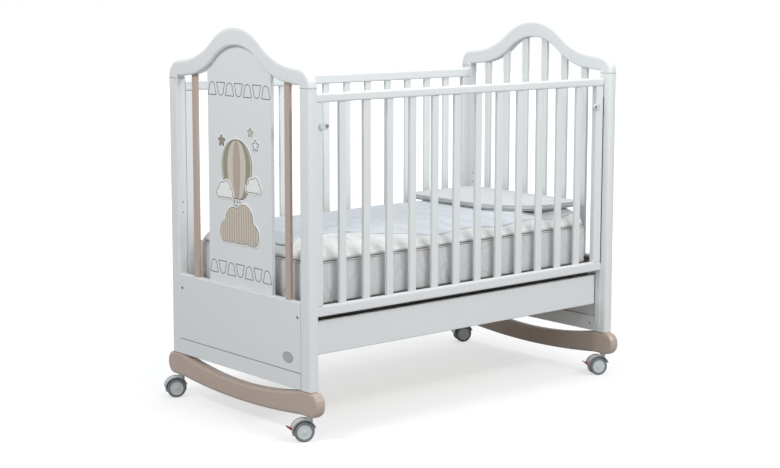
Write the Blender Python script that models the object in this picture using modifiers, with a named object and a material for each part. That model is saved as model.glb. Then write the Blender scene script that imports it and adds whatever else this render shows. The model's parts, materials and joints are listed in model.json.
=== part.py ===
"""Crib with arched ends, a drop side, a drawer under the bed and twin-wheel casters.

Metres, +Z up. The origin lies on the floor below the middle of the frame.
+X runs to the foot end, and -Y is the front, where the drop side is.
"""
import math

import bmesh
import bpy
from mathutils import Matrix, Vector

# Clearances
SEAT_GAP = 0.0003
CUT_OVERRUN = 0.004

# Overall frame
FRAME_LENGTH = 1.335
FRAME_WIDTH = 0.7466
END_THICKNESS = 0.035
POST_WIDTH = 0.050
POST_BOTTOM = 0.152
POST_TOP = 1.057
OUTER_ROUND = 0.012
INNER_ROUND = 0.006
JOINT_CHAMFER = 0.001

# Arched top rail of an end
ARCH_RISE = 0.174
ARCH_SHOULDER = 0.0534
ARCH_LEG_UNDERSIDE = 0.0074
ARCH_CREST_RADIUS = 0.205
ARCH_HOLLOW_RADIUS = 0.275
ARCH_CORNER_RADIUS = 0.053
ARCH_DEPTH = 0.0593
ARCH_UNDER_RADIUS = 0.185
ARCH_UNDER_HOLLOW_RADIUS = 0.254
ARCH_FLANK_DEGREES = 40
ARCH_TAIL_DEGREES = 6
ARCH_UNDER_TAIL_DEGREES = 5

# Boards of an end
BOTTOM_RAIL_HEIGHT = 0.0507
PANEL_ABOVE_MATTRESS_FOOT = 0.0166
LOWER_PANEL_THICKNESS = 0.026
LOWER_PANEL_RECESS = 0.001
GROOVE_CHAMFER = 0.0012
CENTER_PANEL_WIDTH = 0.335
FILLING_THICKNESS = 0.012
FILLING_RECESS = 0.0135
ACCENT_SLAT_WIDTH = 0.026
FOOT_SLAT_WIDTH = 0.028
SLAT_ROUND = 0.003
TENON_DEPTH = 0.008

# Bare oval plate on the head end
BADGE_LENGTH = 0.050
BADGE_HEIGHT = 0.033
BADGE_THICKNESS = 0.0012
BADGE_FROM_PANEL_EDGE = 0.062
BADGE_ABOVE_PANEL_FOOT = 0.041

# Long sides
SIDE_INSET = 0.028
SIDE_THICKNESS = 0.022
SIDE_RAIL_ROUND = 0.006
STILE_WIDTH = 0.034
SIDE_SLAT_WIDTH = 0.027
SIDE_SLAT_THICKNESS = 0.012
TOP_RAIL_HEIGHT = 0.027
DROP_RAIL_BELOW_POST = 0.017
REAR_RAIL_BELOW_POST = 0.009
REAR_TOP_RAIL_HEIGHT = 0.0335
SIDE_RAIL_ABOVE_DRAWER = 0.0185
SIDE_BOTTOM_RAIL_HEIGHT = 0.033
DROP_END_PLAY = 0.003

# Guides and catches of the drop side
TRACK_ABOVE_POST_FOOT = 0.023
TRACK_BELOW_POST_TOP = 0.082
TRACK_RIB_FRONT = 0.0065
TRACK_RIB_REAR = 0.0064
TRACK_SLOT = 0.008
TRACK_WEB = 0.0006
LUG_ROOT = 0.002
LUG_HEIGHT = 0.030
LUG_LOW_ABOVE_SIDE_FOOT = 0.1538
LUG_HIGH_BELOW_POST = 0.132
CATCH_LENGTH = 0.034
CATCH_HEIGHT = 0.020
CATCH_THICKNESS = 0.006
CATCH_BELOW_POST = 0.114
CATCH_OVERLAP = 0.015
CATCH_CORNER_SHARE = 0.9
BUTTON_RADIUS = 0.0045
BUTTON_PLAY = 0.0004
BUTTON_PROUD = 0.0035
BUTTON_FROM_CATCH_END = 0.008

# Mattress base
BASE_SLAT_THICKNESS = 0.010
BASE_SLAT_WIDTH = 0.060
BASE_RAIL_HEIGHT = 0.034
BASE_RAIL_THICKNESS = 0.020
BASE_SIDE_CLEARANCE = 0.017
BASE_ABOVE_DRAWER = 0.0057
BASE_SLAT_HOUSING = 0.002
BASE_SLAT_SETBACK = 0.002
LEDGER_THICKNESS = 0.0025
LEDGER_REACH = 0.030
LEDGER_HEIGHT = 0.055

# Drawer and runners
DRAWER_FRONT_INSET = 0.0514
DRAWER_FRONT_THICKNESS = 0.018
DRAWER_ABOVE_POST_FOOT = 0.0975
DRAWER_FRONT_HEIGHT = 0.1025
DRAWER_END_PLAY = 0.0035
DRAWER_REAR_CLEARANCE = 0.0612
DRAWER_WALL = 0.012
DRAWER_WALL_HEIGHT = 0.078
DRAWER_WALL_ABOVE_FRONT_FOOT = 0.008
DRAWER_BOTTOM_THICKNESS = 0.005
DRAWER_BOTTOM_LIFT = 0.004
DRAWER_EDGE_ROUND = 0.002
RUNNER_SPACE = 0.011
RUNNER_HEIGHT = 0.030
RUNNER_SHEET = 0.0012
RUNNER_PLAY = 0.0005
RUNNER_ABOVE_DRAWER_FOOT = 0.0555
RUNNER_TRACK_CLEARANCE = 0.0005
RUNNER_SETBACK = 0.006

# Rockers
ROCKER_OVERHANG = 0.030
ROCKER_TOP_MIDDLE = 0.116
ROCKER_PAD = 0.075
ROCKER_MIDDLE_FOOT = 0.057
ROCKER_PAD_INNER = 0.060
ROCKER_END_ROUND = 0.035
ROCKER_EDGE_ROUND = 0.008

# Casters
STEM_FROM_FACE = 0.0268
CASTER_TRAIL = 0.0205
CASTER_HEADING_DEGREES = 154.5
WHEEL_RADIUS = 0.031
WHEEL_WIDTH = 0.015
TYRE_SHOULDER = 0.003
HUB_RADIUS = 0.024
HUB_DISH = 0.0015
HUB_LIP = 0.0015
AXLE_RADIUS = 0.0025
AXLE_PLAY = 0.0004
FIN_THICKNESS = 0.007
WHEEL_SIDE_PLAY = 0.0008
HOOD_PLAY = 0.0028
HOOD_THICKNESS = 0.0032
HOOD_START_DEGREES = 6
HOOD_END_DEGREES = 160
FIN_START_DEGREES = -22
FIN_END_DEGREES = 202
BOSS_RADIUS = 0.0088
BOSS_FOOT = 0.050
STEM_RADIUS = 0.005
STEM_LENGTH = 0.034
SOCKET_PLAY = 0.0003
SOCKET_WALL = 0.0015
SOCKET_DEPTH = 0.036
SOCKET_FLANGE_RADIUS = 0.0115
SOCKET_FLANGE_THICKNESS = 0.0015
LEVER_KNUCKLE_RADIUS = 0.003
LEVER_LENGTH = 0.015
LEVER_TIP_THICKNESS = 0.002
LEVER_WIDTH = 0.020
LEVER_SEAT_DEGREES = 14
LEVER_RISE_DEGREES = 32

# Bedding
MATTRESS_END_CLEARANCE = 0.018
MATTRESS_SIDE_CLEARANCE = 0.0083
MATTRESS_HEIGHT = 0.125
DUVET_HEIGHT = 0.062
DUVET_CROWN = 0.012
SOFT_SIDE_BULGE = 0.004
SOFT_SIDE_PULL = 0.004
DUVET_INSET = 0.004
QUILT_LENGTH = 0.330
QUILT_WIDTH = 0.560
QUILT_HEIGHT = 0.024
QUILT_CROWN = 0.004
QUILT_FROM_MATTRESS_END = 0.010
QUILT_SIDEWAYS = 0.0067
CROWN_EDGE_POWER = 8

# Counts and facet angles
SIDE_SLAT_COUNT = 12
FOOT_SLAT_COUNT = 6
BASE_SLAT_COUNT = 9
ARCH_STEPS = 8
CORNER_STEPS = 4
ROUND_STEPS = 3
WHEEL_STEPS = 24
HOOD_STEPS = 14
BORE_STEPS = 16
SHARP_DEGREES = 42
ROUND_PROFILE_SHARE = 0.5

# Places worked out from the sizes above
ARCH_CREST = POST_TOP + ARCH_RISE
HALF_LENGTH = FRAME_LENGTH / 2
HALF_WIDTH = FRAME_WIDTH / 2
POST_INNER_X = HALF_LENGTH - END_THICKNESS
POST_INNER_Y = HALF_WIDTH - POST_WIDTH
BOTTOM_RAIL_TOP = POST_BOTTOM + BOTTOM_RAIL_HEIGHT
PANEL_INNER_X = HALF_LENGTH - LOWER_PANEL_RECESS - LOWER_PANEL_THICKNESS
SIDE_FRONT_Y = HALF_WIDTH - SIDE_INSET
SIDE_MIDDLE_Y = SIDE_FRONT_Y - SIDE_THICKNESS / 2
DROP_HALF_LENGTH = POST_INNER_X - DROP_END_PLAY
DROP_TOP_RAIL_TOP = POST_TOP - DROP_RAIL_BELOW_POST
REAR_TOP_RAIL_TOP = POST_TOP - REAR_RAIL_BELOW_POST
TRACK_FOOT = POST_BOTTOM + TRACK_ABOVE_POST_FOOT
TRACK_TOP = POST_TOP - TRACK_BELOW_POST_TOP
DRAWER_FRONT_FOOT = POST_BOTTOM + DRAWER_ABOVE_POST_FOOT
DRAWER_FRONT_TOP = DRAWER_FRONT_FOOT + DRAWER_FRONT_HEIGHT
RUNNER_MIDDLE = DRAWER_FRONT_FOOT + RUNNER_ABOVE_DRAWER_FOOT
RUNNER_FRONT_Y = -HALF_WIDTH + DRAWER_FRONT_INSET + DRAWER_FRONT_THICKNESS + RUNNER_SETBACK
DRAWER_DEPTH = POST_INNER_Y - DRAWER_REAR_CLEARANCE - RUNNER_FRONT_Y
SIDE_BOTTOM_RAIL_FOOT = DRAWER_FRONT_TOP + SIDE_RAIL_ABOVE_DRAWER
SIDE_BOTTOM_RAIL_TOP = SIDE_BOTTOM_RAIL_FOOT + SIDE_BOTTOM_RAIL_HEIGHT
LUG_LOW_MIDDLE = SIDE_BOTTOM_RAIL_FOOT + LUG_LOW_ABOVE_SIDE_FOOT
LUG_HIGH_MIDDLE = POST_TOP - LUG_HIGH_BELOW_POST
CATCH_MIDDLE = POST_TOP - CATCH_BELOW_POST
BASE_RAIL_FOOT = DRAWER_FRONT_TOP + BASE_ABOVE_DRAWER
BASE_RAIL_TOP = BASE_RAIL_FOOT + BASE_RAIL_HEIGHT
BASE_SLAT_FOOT = BASE_RAIL_TOP - BASE_SLAT_HOUSING
MATTRESS_FOOT = BASE_SLAT_FOOT + BASE_SLAT_THICKNESS + SEAT_GAP
MATTRESS_LENGTH = 2 * (PANEL_INNER_X - MATTRESS_END_CLEARANCE)
MATTRESS_WIDTH = 2 * (POST_INNER_Y - MATTRESS_SIDE_CLEARANCE)
LOWER_PANEL_TOP = MATTRESS_FOOT + PANEL_ABOVE_MATTRESS_FOOT
STEM_X = HALF_LENGTH - END_THICKNESS / 2
STEM_Y = HALF_WIDTH - STEM_FROM_FACE
HOOD_INNER = WHEEL_RADIUS + HOOD_PLAY
HOOD_OUTER = HOOD_INNER + HOOD_THICKNESS
WHEEL_INNER_Y = FIN_THICKNESS / 2 + WHEEL_SIDE_PLAY
WHEEL_OUTER_Y = WHEEL_INNER_Y + WHEEL_WIDTH
SOCKET_INNER = STEM_RADIUS + SOCKET_PLAY
SOCKET_OUTER = SOCKET_INNER + SOCKET_WALL

AXIS_TURNS = {
    "X": Matrix(((0, 0, 1), (1, 0, 0), (0, 1, 0))),
    "Y": Matrix(((1, 0, 0), (0, 0, -1), (0, 1, 0))),
    "Z": Matrix.Identity(3),
}


def clear_scene():
    """Remove the objects that the scene starts with."""
    for item in list(bpy.data.objects):
        bpy.data.objects.remove(item, do_unlink=True)


def collection(name):
    """New collection of the scene."""
    group = bpy.data.collections.new(name)
    bpy.context.scene.collection.children.link(group)
    return group


def finish(name, colour, roughness, metallic=0.0):
    """Principled material."""
    material = bpy.data.materials.new(name)
    material.use_nodes = True
    shader = material.node_tree.nodes["Principled BSDF"]
    shader.inputs["Base Color"].default_value = (*colour, 1.0)
    shader.inputs["Roughness"].default_value = roughness
    shader.inputs["Metallic"].default_value = metallic
    return material


def arc(centre, radius, start, end, steps):
    """Points of an arc from start to end, in degrees, both ends included."""
    points = []
    for index in range(steps + 1):
        turn = math.radians(start + (end - start) * index / steps)
        points.append((centre[0] + radius * math.cos(turn), centre[1] + radius * math.sin(turn)))
    return points


def rounded_rectangle(width, height, radii, steps=ROUND_STEPS):
    """Outline of a rectangle whose corners are rounded from the low left one, anticlockwise."""
    half = Vector((width / 2, height / 2))
    signs = ((-1, -1), (1, -1), (1, 1), (-1, 1))
    points = []
    for index, (sign, radius) in enumerate(zip(signs, radii)):
        centre = (sign[0] * (half.x - radius), sign[1] * (half.y - radius))
        points.extend(arc(centre, radius, 180 + 90 * index, 270 + 90 * index, steps))
    return points


def even_rectangle(width, height, radius, steps=ROUND_STEPS):
    """Outline of a rectangle with four alike round corners."""
    return rounded_rectangle(width, height, (radius,) * 4, steps)


def plain_rectangle(width, height):
    """Outline of a rectangle with sharp corners."""
    half_width, half_height = width / 2, height / 2
    return [(-half_width, -half_height), (half_width, -half_height),
            (half_width, half_height), (-half_width, half_height)]


def mirrored_outline(half):
    """Closed outline from its right half, whose first and last points lie on the middle line."""
    left = [(-across, up) for across, up in reversed(half[1:-1])]
    return half + left


def bell_profile(crest, end, crest_radius, hollow_radius, tail_degrees, reach):
    """Half of a bell arch, from its crest to its end: a round crest, a hollow and a straight tail."""
    flank = math.radians(ARCH_FLANK_DEGREES)
    tail = math.radians(tail_degrees)
    points = []
    for index in range(ARCH_STEPS + 1):
        slope = flank * index / ARCH_STEPS
        points.append((crest_radius * math.sin(slope), crest - crest_radius * (1 - math.cos(slope))))
    start_across, start_up = points[-1]
    for index in range(1, ARCH_STEPS + 1):
        slope = flank + (tail - flank) * index / ARCH_STEPS
        across = start_across + hollow_radius * (math.sin(flank) - math.sin(slope))
        up = start_up - hollow_radius * (math.cos(slope) - math.cos(flank))
        points.append((across, up))
    last_across, last_up = points[-1]
    points.append((reach, last_up - math.tan(tail) * (reach - last_across)))
    stretch = (crest - end) / (crest - points[-1][1])
    return [(across, crest - (crest - up) * stretch) for across, up in points]


def arch_underside():
    """Half of the arch's underside, from the crest to the inner face of the post."""
    return bell_profile(ARCH_CREST - ARCH_DEPTH, POST_TOP + ARCH_LEG_UNDERSIDE, ARCH_UNDER_RADIUS,
                        ARCH_UNDER_HOLLOW_RADIUS, ARCH_UNDER_TAIL_DEGREES, POST_INNER_Y)


def arch_outer():
    """Half of the arch's upper edge, from the crest to the top of the post's outer face."""
    bell = bell_profile(ARCH_CREST, POST_TOP + ARCH_SHOULDER, ARCH_CREST_RADIUS, ARCH_HOLLOW_RADIUS,
                        ARCH_TAIL_DEGREES, HALF_WIDTH)
    tail = math.radians(ARCH_TAIL_DEGREES)
    centre_across = HALF_WIDTH - ARCH_CORNER_RADIUS
    touch_across = centre_across + ARCH_CORNER_RADIUS * math.sin(tail)
    touch_up = bell[-1][1] + math.tan(tail) * (HALF_WIDTH - touch_across)
    centre_up = touch_up - ARCH_CORNER_RADIUS * math.cos(tail)
    corner = arc((centre_across, centre_up), ARCH_CORNER_RADIUS, 90 - ARCH_TAIL_DEGREES, 0,
                 CORNER_STEPS + 1)
    return bell[:-1] + corner


def height_at(profile, across):
    """Height of a profile, straight between its points, at a distance from the middle line."""
    distance = abs(across)
    for (low, low_up), (high, high_up) in zip(profile, profile[1:]):
        if low <= distance <= high:
            return low_up + (high_up - low_up) * (distance - low) / (high - low)
    return profile[-1][1]


def board(name, outline, depth, along, centre, material):
    """Flat outline given a depth along one axis, as a welded mesh with whole caps, placed at centre."""
    curve = bpy.data.curves.new(name, "CURVE")
    curve.dimensions = "2D"
    curve.fill_mode = "BOTH"
    curve.extrude = depth / 2
    spline = curve.splines.new("POLY")
    spline.points.add(len(outline) - 1)
    for point, (across, up) in zip(spline.points, outline):
        point.co = (across, up, 0, 1)
    spline.use_cyclic_u = True
    guide = bpy.data.objects.new(name + "_outline", curve)
    PARTS.objects.link(guide)
    bpy.context.view_layer.update()
    evaluated = guide.evaluated_get(bpy.context.evaluated_depsgraph_get())
    mesh = bpy.data.meshes.new_from_object(evaluated)
    bpy.data.objects.remove(guide, do_unlink=True)
    bpy.data.curves.remove(curve)
    shape = bmesh.new()
    shape.from_mesh(mesh)
    bmesh.ops.remove_doubles(shape, verts=shape.verts, dist=SEAT_GAP / 10)
    caps = [face for face in shape.faces
            if max(vert.co.z for vert in face.verts) - min(vert.co.z for vert in face.verts) < SEAT_GAP]
    bmesh.ops.delete(shape, geom=caps, context="FACES_ONLY")
    loose = [edge for edge in shape.edges if not edge.link_faces]
    bmesh.ops.delete(shape, geom=loose, context="EDGES")
    bmesh.ops.holes_fill(shape, edges=shape.edges, sides=0)
    bmesh.ops.recalc_face_normals(shape, faces=shape.faces)
    shape.to_mesh(mesh)
    shape.free()
    turn = AXIS_TURNS[along].to_4x4()
    return mesh_object(name, mesh, Matrix.Translation(centre) @ turn, material)


def mesh_object(name, mesh, place, material):
    """Object of a mesh at a place, in the parts' collection."""
    mesh.name = name
    item = bpy.data.objects.new(name, mesh)
    item.matrix_world = place
    item.data.materials.clear()
    item.data.materials.append(material)
    PARTS.objects.link(item)
    return item


def box(name, size, centre, material, chamfer=0):
    """Rectangular block, its edges eased by a bevel where a chamfer is given."""
    shape = bmesh.new()
    bmesh.ops.create_cube(shape, size=1)
    bmesh.ops.scale(shape, vec=size, verts=shape.verts)
    mesh = bpy.data.meshes.new(name)
    shape.to_mesh(mesh)
    shape.free()
    item = mesh_object(name, mesh, Matrix.Translation(centre), material)
    if chamfer:
        ease_edges(item, chamfer)
    return item


def cylinder(name, radius, depth, place, material, steps=BORE_STEPS):
    """Closed cylinder along the local Z axis of a place."""
    shape = bmesh.new()
    bmesh.ops.create_cone(shape, cap_ends=True, segments=steps, radius1=radius, radius2=radius,
                          depth=depth)
    mesh = bpy.data.meshes.new(name)
    shape.to_mesh(mesh)
    shape.free()
    return mesh_object(name, mesh, place, material)


def turned(name, profile, closed, place, material):
    """Profile of (radius, height) points turned about the local Z axis of a place."""
    mesh = bpy.data.meshes.new(name)
    edges = [(index, index + 1) for index in range(len(profile) - 1)]
    if closed:
        edges.append((len(profile) - 1, 0))
    mesh.from_pydata([(radius, 0, height) for radius, height in profile], edges, [])
    item = mesh_object(name, mesh, place, material)
    screw = item.modifiers.new("turn", "SCREW")
    screw.steps = screw.render_steps = WHEEL_STEPS
    screw.use_merge_vertices = True
    screw.merge_threshold = SEAT_GAP / 10
    screw.use_smooth_shade = True
    return item


def ease_edges(item, width, segments=1):
    """Bevel on the edges that turn sharply."""
    bevel = item.modifiers.new("ease", "BEVEL")
    bevel.width = width
    bevel.segments = segments
    bevel.limit_method = "ANGLE"
    bevel.angle_limit = math.radians(SHARP_DEGREES)
    return item


def round_rims(item, pick, width, segments=ROUND_STEPS):
    """Round the edges of a board's two faces that pick accepts by their middle point."""
    shape = bmesh.new()
    shape.from_mesh(item.data)
    face_height = max(vert.co.z for vert in shape.verts)
    rims = []
    for edge in shape.edges:
        low, high = edge.verts
        on_face = abs(abs(low.co.z) - face_height) < SEAT_GAP and abs(low.co.z - high.co.z) < SEAT_GAP
        if on_face and len(edge.link_faces) == 2 and edge.calc_face_angle(0) > math.radians(SHARP_DEGREES):
            if pick((low.co + high.co) / 2):
                rims.append(edge)
    bmesh.ops.bevel(shape, geom=rims, offset=width, offset_type="OFFSET", segments=segments,
                    profile=ROUND_PROFILE_SHARE, affect="EDGES", clamp_overlap=False)
    bmesh.ops.remove_doubles(shape, verts=shape.verts, dist=SEAT_GAP / 10)
    bmesh.ops.dissolve_degenerate(shape, edges=shape.edges, dist=SEAT_GAP / 10)
    shape.to_mesh(item.data)
    shape.free()
    return item


def repeated(item, count, step):
    """Row of alike solids, which a Boolean union later joins to their rail."""
    array = item.modifiers.new("row", "ARRAY")
    array.count = count
    array.use_relative_offset = False
    array.use_constant_offset = True
    array.constant_offset_displace = item.matrix_world.to_3x3().inverted() @ Vector(step)
    array.merge_threshold = SEAT_GAP / 10
    return item


def combined(item, other, operation):
    """Boolean of another solid on an item; the other becomes a hidden cutter."""
    cut = item.modifiers.new(operation.lower(), "BOOLEAN")
    cut.operation = operation
    cut.solver = "EXACT"
    cut.object = other
    other.hide_render = True
    other.display_type = "WIRE"
    PARTS.objects.unlink(other)
    CUTTERS.objects.link(other)
    return item


def smooth(item):
    """Smooth shading between the sharp edges."""
    item.data.shade_smooth()
    item.data.set_sharp_from_angle(angle=math.radians(SHARP_DEGREES))
    return item


def end_side(end):
    """Sign of X at an end."""
    return -1 if end == "head" else 1


def depth_x(end, inset, thickness):
    """Middle of a board's thickness, from its inset behind the outer face of an end."""
    return end_side(end) * (HALF_LENGTH - inset - thickness / 2)


def build_posts(end):
    """Two posts of an end, with round outer edges and a chamfer at the joints."""
    sign = end_side(end)
    height = POST_TOP - POST_BOTTOM
    radii = {-1: (OUTER_ROUND, OUTER_ROUND, INNER_ROUND, INNER_ROUND),
             1: (INNER_ROUND, INNER_ROUND, OUTER_ROUND, OUTER_ROUND)}
    for side, name in ((-1, "front"), (1, "rear")):
        outline = rounded_rectangle(END_THICKNESS, POST_WIDTH, radii[side])
        middle = (sign * (HALF_LENGTH - END_THICKNESS / 2), side * (HALF_WIDTH - POST_WIDTH / 2),
                  POST_BOTTOM + height / 2)
        post = board(f"{end}_post_{name}", outline, height, "Z", middle, WHITE)
        round_rims(post, lambda place: True, JOINT_CHAMFER, segments=1)
        smooth(post)


def build_arch(end):
    """Bell-shaped top rail that stands on both posts of an end."""
    under = arch_underside()
    outer = arch_outer()
    joint = POST_TOP + SEAT_GAP
    half = outer + [(HALF_WIDTH, joint), (POST_INNER_Y, joint)] + list(reversed(under))
    outline = mirrored_outline(half)
    arch = board(f"{end}_arch_rail", outline, END_THICKNESS, "X",
                 (depth_x(end, 0, END_THICKNESS), 0, 0), WHITE)

    def is_under(place):
        near_leg = abs(abs(place.x) - POST_INNER_Y) < SEAT_GAP
        return near_leg or abs(place.y - height_at(under, place.x)) < SEAT_GAP

    def is_joint(place):
        return place.y < joint + SEAT_GAP

    round_rims(arch, lambda place: not is_joint(place) and not is_under(place), OUTER_ROUND)
    round_rims(arch, lambda place: not is_joint(place) and is_under(place), INNER_ROUND)
    return smooth(arch)


def build_bottom_rail(end):
    """Bottom rail between the posts of an end."""
    width = 2 * (POST_INNER_Y - SEAT_GAP)
    rail = board(f"{end}_bottom_rail", plain_rectangle(width, BOTTOM_RAIL_HEIGHT), END_THICKNESS, "X",
                 (depth_x(end, 0, END_THICKNESS), 0, POST_BOTTOM + BOTTOM_RAIL_HEIGHT / 2), WHITE)
    ease_edges(rail, GROOVE_CHAMFER)


def build_lower_panel(end, name):
    """Solid panel on the bottom rail of an end."""
    width = 2 * (POST_INNER_Y - SEAT_GAP)
    foot = BOTTOM_RAIL_TOP + SEAT_GAP
    height = LOWER_PANEL_TOP - foot
    panel = board(name, plain_rectangle(width, height), LOWER_PANEL_THICKNESS, "X",
                  (depth_x(end, LOWER_PANEL_RECESS, LOWER_PANEL_THICKNESS), 0, foot + height / 2), WHITE)
    return ease_edges(panel, GROOVE_CHAMFER)


def points_between(profile, left, right):
    """Points of a mirrored profile between two distances from the middle line, from the right."""
    both = {(sign * across, up) for across, up in profile for sign in (-1, 1)}
    return sorted((point for point in both if left < point[0] < right), reverse=True)


def slat_outline(middle, width, foot):
    """Outline of a slat from a foot height to a straight top just below the arch's underside."""
    under = arch_underside()
    left, right = middle - width / 2, middle + width / 2
    left_top, right_top = height_at(under, left), height_at(under, right)
    slope = (right_top - left_top) / width
    drop = max([left_top + slope * (across - left) - up
                for across, up in points_between(under, left, right)] + [0]) + SEAT_GAP
    return [(left, foot), (right, foot), (right, right_top - drop), (left, left_top - drop)]


def upright(name, end, middle, width, foot, material):
    """Slat of an end that stands under the arch."""
    slat = board(name, slat_outline(middle, width, foot), FILLING_THICKNESS, "X",
                 (depth_x(end, FILLING_RECESS, FILLING_THICKNESS), 0, 0), material)
    round_rims(slat, lambda place: True, SLAT_ROUND, segments=2)
    return smooth(slat)


def build_center_panel():
    """Flat panel under the crest of the head arch, its top edge following the underside."""
    under = arch_underside()
    foot, half = LOWER_PANEL_TOP + SEAT_GAP, CENTER_PANEL_WIDTH / 2
    edge = height_at(under, half)
    crown = [(half, edge), *points_between(under, -half, half), (-half, edge)]
    outline = [(-half, foot), (half, foot)] + [(across, up - SEAT_GAP) for across, up in crown]
    panel = board("head_center_panel", outline, FILLING_THICKNESS, "X",
                  (depth_x("head", FILLING_RECESS, FILLING_THICKNESS), 0, 0), WHITE)
    return ease_edges(panel, JOINT_CHAMFER)


def join(target, others):
    """Add other solids, which have the same place, to a target's mesh."""
    shape = bmesh.new()
    shape.from_mesh(target.data)
    for other in others:
        shape.from_mesh(other.data)
        bpy.data.objects.remove(other, do_unlink=True)
    shape.to_mesh(target.data)
    shape.free()
    return target


def build_head_filling():
    """Lower panel and centre panel of the head end, with an accent slat in each gap beside it."""
    build_lower_panel("head", "head_lower_panel")
    build_center_panel()
    middle = (CENTER_PANEL_WIDTH / 2 + POST_INNER_Y) / 2
    for side, word in ((-1, "front"), (1, "rear")):
        upright(f"head_accent_slat_{word}", "head", side * middle, ACCENT_SLAT_WIDTH,
                LOWER_PANEL_TOP + SEAT_GAP, TAUPE)


def build_foot_filling():
    """Lower panel of the foot end, with evenly spaced slats tenoned into its top edge."""
    panel = build_lower_panel("foot", "foot_panel_and_slats")
    gap = (2 * POST_INNER_Y - FOOT_SLAT_COUNT * FOOT_SLAT_WIDTH) / (FOOT_SLAT_COUNT + 1)
    first = -POST_INNER_Y + gap + FOOT_SLAT_WIDTH / 2
    slats = [upright(f"foot_slat_{index}", "foot", first + index * (gap + FOOT_SLAT_WIDTH), FOOT_SLAT_WIDTH,
                     LOWER_PANEL_TOP - TENON_DEPTH, WHITE) for index in range(FOOT_SLAT_COUNT)]
    combined(panel, join(slats[0], slats[1:]), "UNION")


def build_badge():
    """Bare oval plate on the head end's lower panel."""
    circle = arc((0, 0), 1, 0, 360, WHEEL_STEPS)[:-1]
    outline = [(BADGE_LENGTH / 2 * across, BADGE_HEIGHT / 2 * up) for across, up in circle]
    face = HALF_LENGTH - LOWER_PANEL_RECESS + SEAT_GAP
    plate = board("badge_plate", outline, BADGE_THICKNESS, "X",
                  (-face - BADGE_THICKNESS / 2, -POST_INNER_Y + BADGE_FROM_PANEL_EDGE,
                   BOTTOM_RAIL_TOP + BADGE_ABOVE_PANEL_FOOT), CREAM)
    return smooth(plate)


def side_rail(name, half_length, side, top, height):
    """Round-edged rail along a long side."""
    outline = even_rectangle(SIDE_THICKNESS, height, SIDE_RAIL_ROUND)
    rail = board(name, outline, 2 * half_length, "X", (0, side * SIDE_MIDDLE_Y, top - height / 2), WHITE)
    return smooth(rail)


def build_side(prefix, side, end_play, rail_top, rail_height):
    """Top rail, stiles and a rack of slats in a bottom rail; the rails run over the stiles."""
    half_length = POST_INNER_X - end_play
    side_rail(f"{prefix}_top_rail", half_length, side, rail_top, rail_height)
    rack = side_rail(f"{prefix}_slat_rack", half_length, side, SIDE_BOTTOM_RAIL_TOP, SIDE_BOTTOM_RAIL_HEIGHT)
    top = rail_top - rail_height - SEAT_GAP
    foot = SIDE_BOTTOM_RAIL_TOP + SEAT_GAP
    stiles = []
    for end in ("head", "foot"):
        x = end_side(end) * (half_length - STILE_WIDTH / 2)
        outline = even_rectangle(STILE_WIDTH, SIDE_THICKNESS, SLAT_ROUND, 2)
        stiles.append(smooth(board(f"{prefix}_stile_{end}", outline, top - foot, "Z",
                                   (x, side * SIDE_MIDDLE_Y, (top + foot) / 2), WHITE)))
    inner = half_length - STILE_WIDTH
    gap = (2 * inner - SIDE_SLAT_COUNT * SIDE_SLAT_WIDTH) / (SIDE_SLAT_COUNT + 1)
    first = -inner + gap + SIDE_SLAT_WIDTH / 2
    slat_foot = SIDE_BOTTOM_RAIL_TOP - TENON_DEPTH
    slats = board(f"{prefix}_slats", even_rectangle(SIDE_SLAT_WIDTH, SIDE_SLAT_THICKNESS, SLAT_ROUND, 2),
                  top - slat_foot, "Z", (first, side * SIDE_MIDDLE_Y, (top + slat_foot) / 2), WHITE)
    repeated(slats, SIDE_SLAT_COUNT, (gap + SIDE_SLAT_WIDTH, 0, 0))
    combined(rack, slats, "UNION")
    return stiles


def build_guides(stiles):
    """Track channel on each front post, and the stiles' lugs that slide in its slot."""
    rib_face = DROP_END_PLAY - SEAT_GAP
    front = -SIDE_FRONT_Y + SEAT_GAP
    slot_front = front + TRACK_RIB_FRONT
    slot_rear = slot_front + TRACK_SLOT
    rear = slot_rear + TRACK_RIB_REAR
    height, middle = TRACK_TOP - TRACK_FOOT, (TRACK_TOP + TRACK_FOOT) / 2
    web_face = SEAT_GAP + TRACK_WEB
    lug_tip = web_face + SEAT_GAP
    lug_depth = DROP_END_PLAY - lug_tip + LUG_ROOT
    for end, stile in zip(("head", "foot"), stiles):
        sign = end_side(end)
        outline = [(-sign * depth, y) for depth, y in (
            (SEAT_GAP, front), (rib_face, front), (rib_face, slot_front), (web_face, slot_front),
            (web_face, slot_rear), (rib_face, slot_rear), (rib_face, rear), (SEAT_GAP, rear))]
        board(f"guide_track_{end}", outline, height, "Z", (sign * POST_INNER_X, 0, middle), DARK)
        lug = box(f"guide_lug_{end}", (lug_depth, TRACK_SLOT - 2 * SEAT_GAP, LUG_HEIGHT),
                  (sign * (POST_INNER_X - lug_tip - lug_depth / 2), (slot_front + slot_rear) / 2,
                   LUG_LOW_MIDDLE), WHITE)
        repeated(lug, 2, (0, 0, LUG_HIGH_MIDDLE - LUG_LOW_MIDDLE))
        combined(stile, lug, "UNION")


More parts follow.
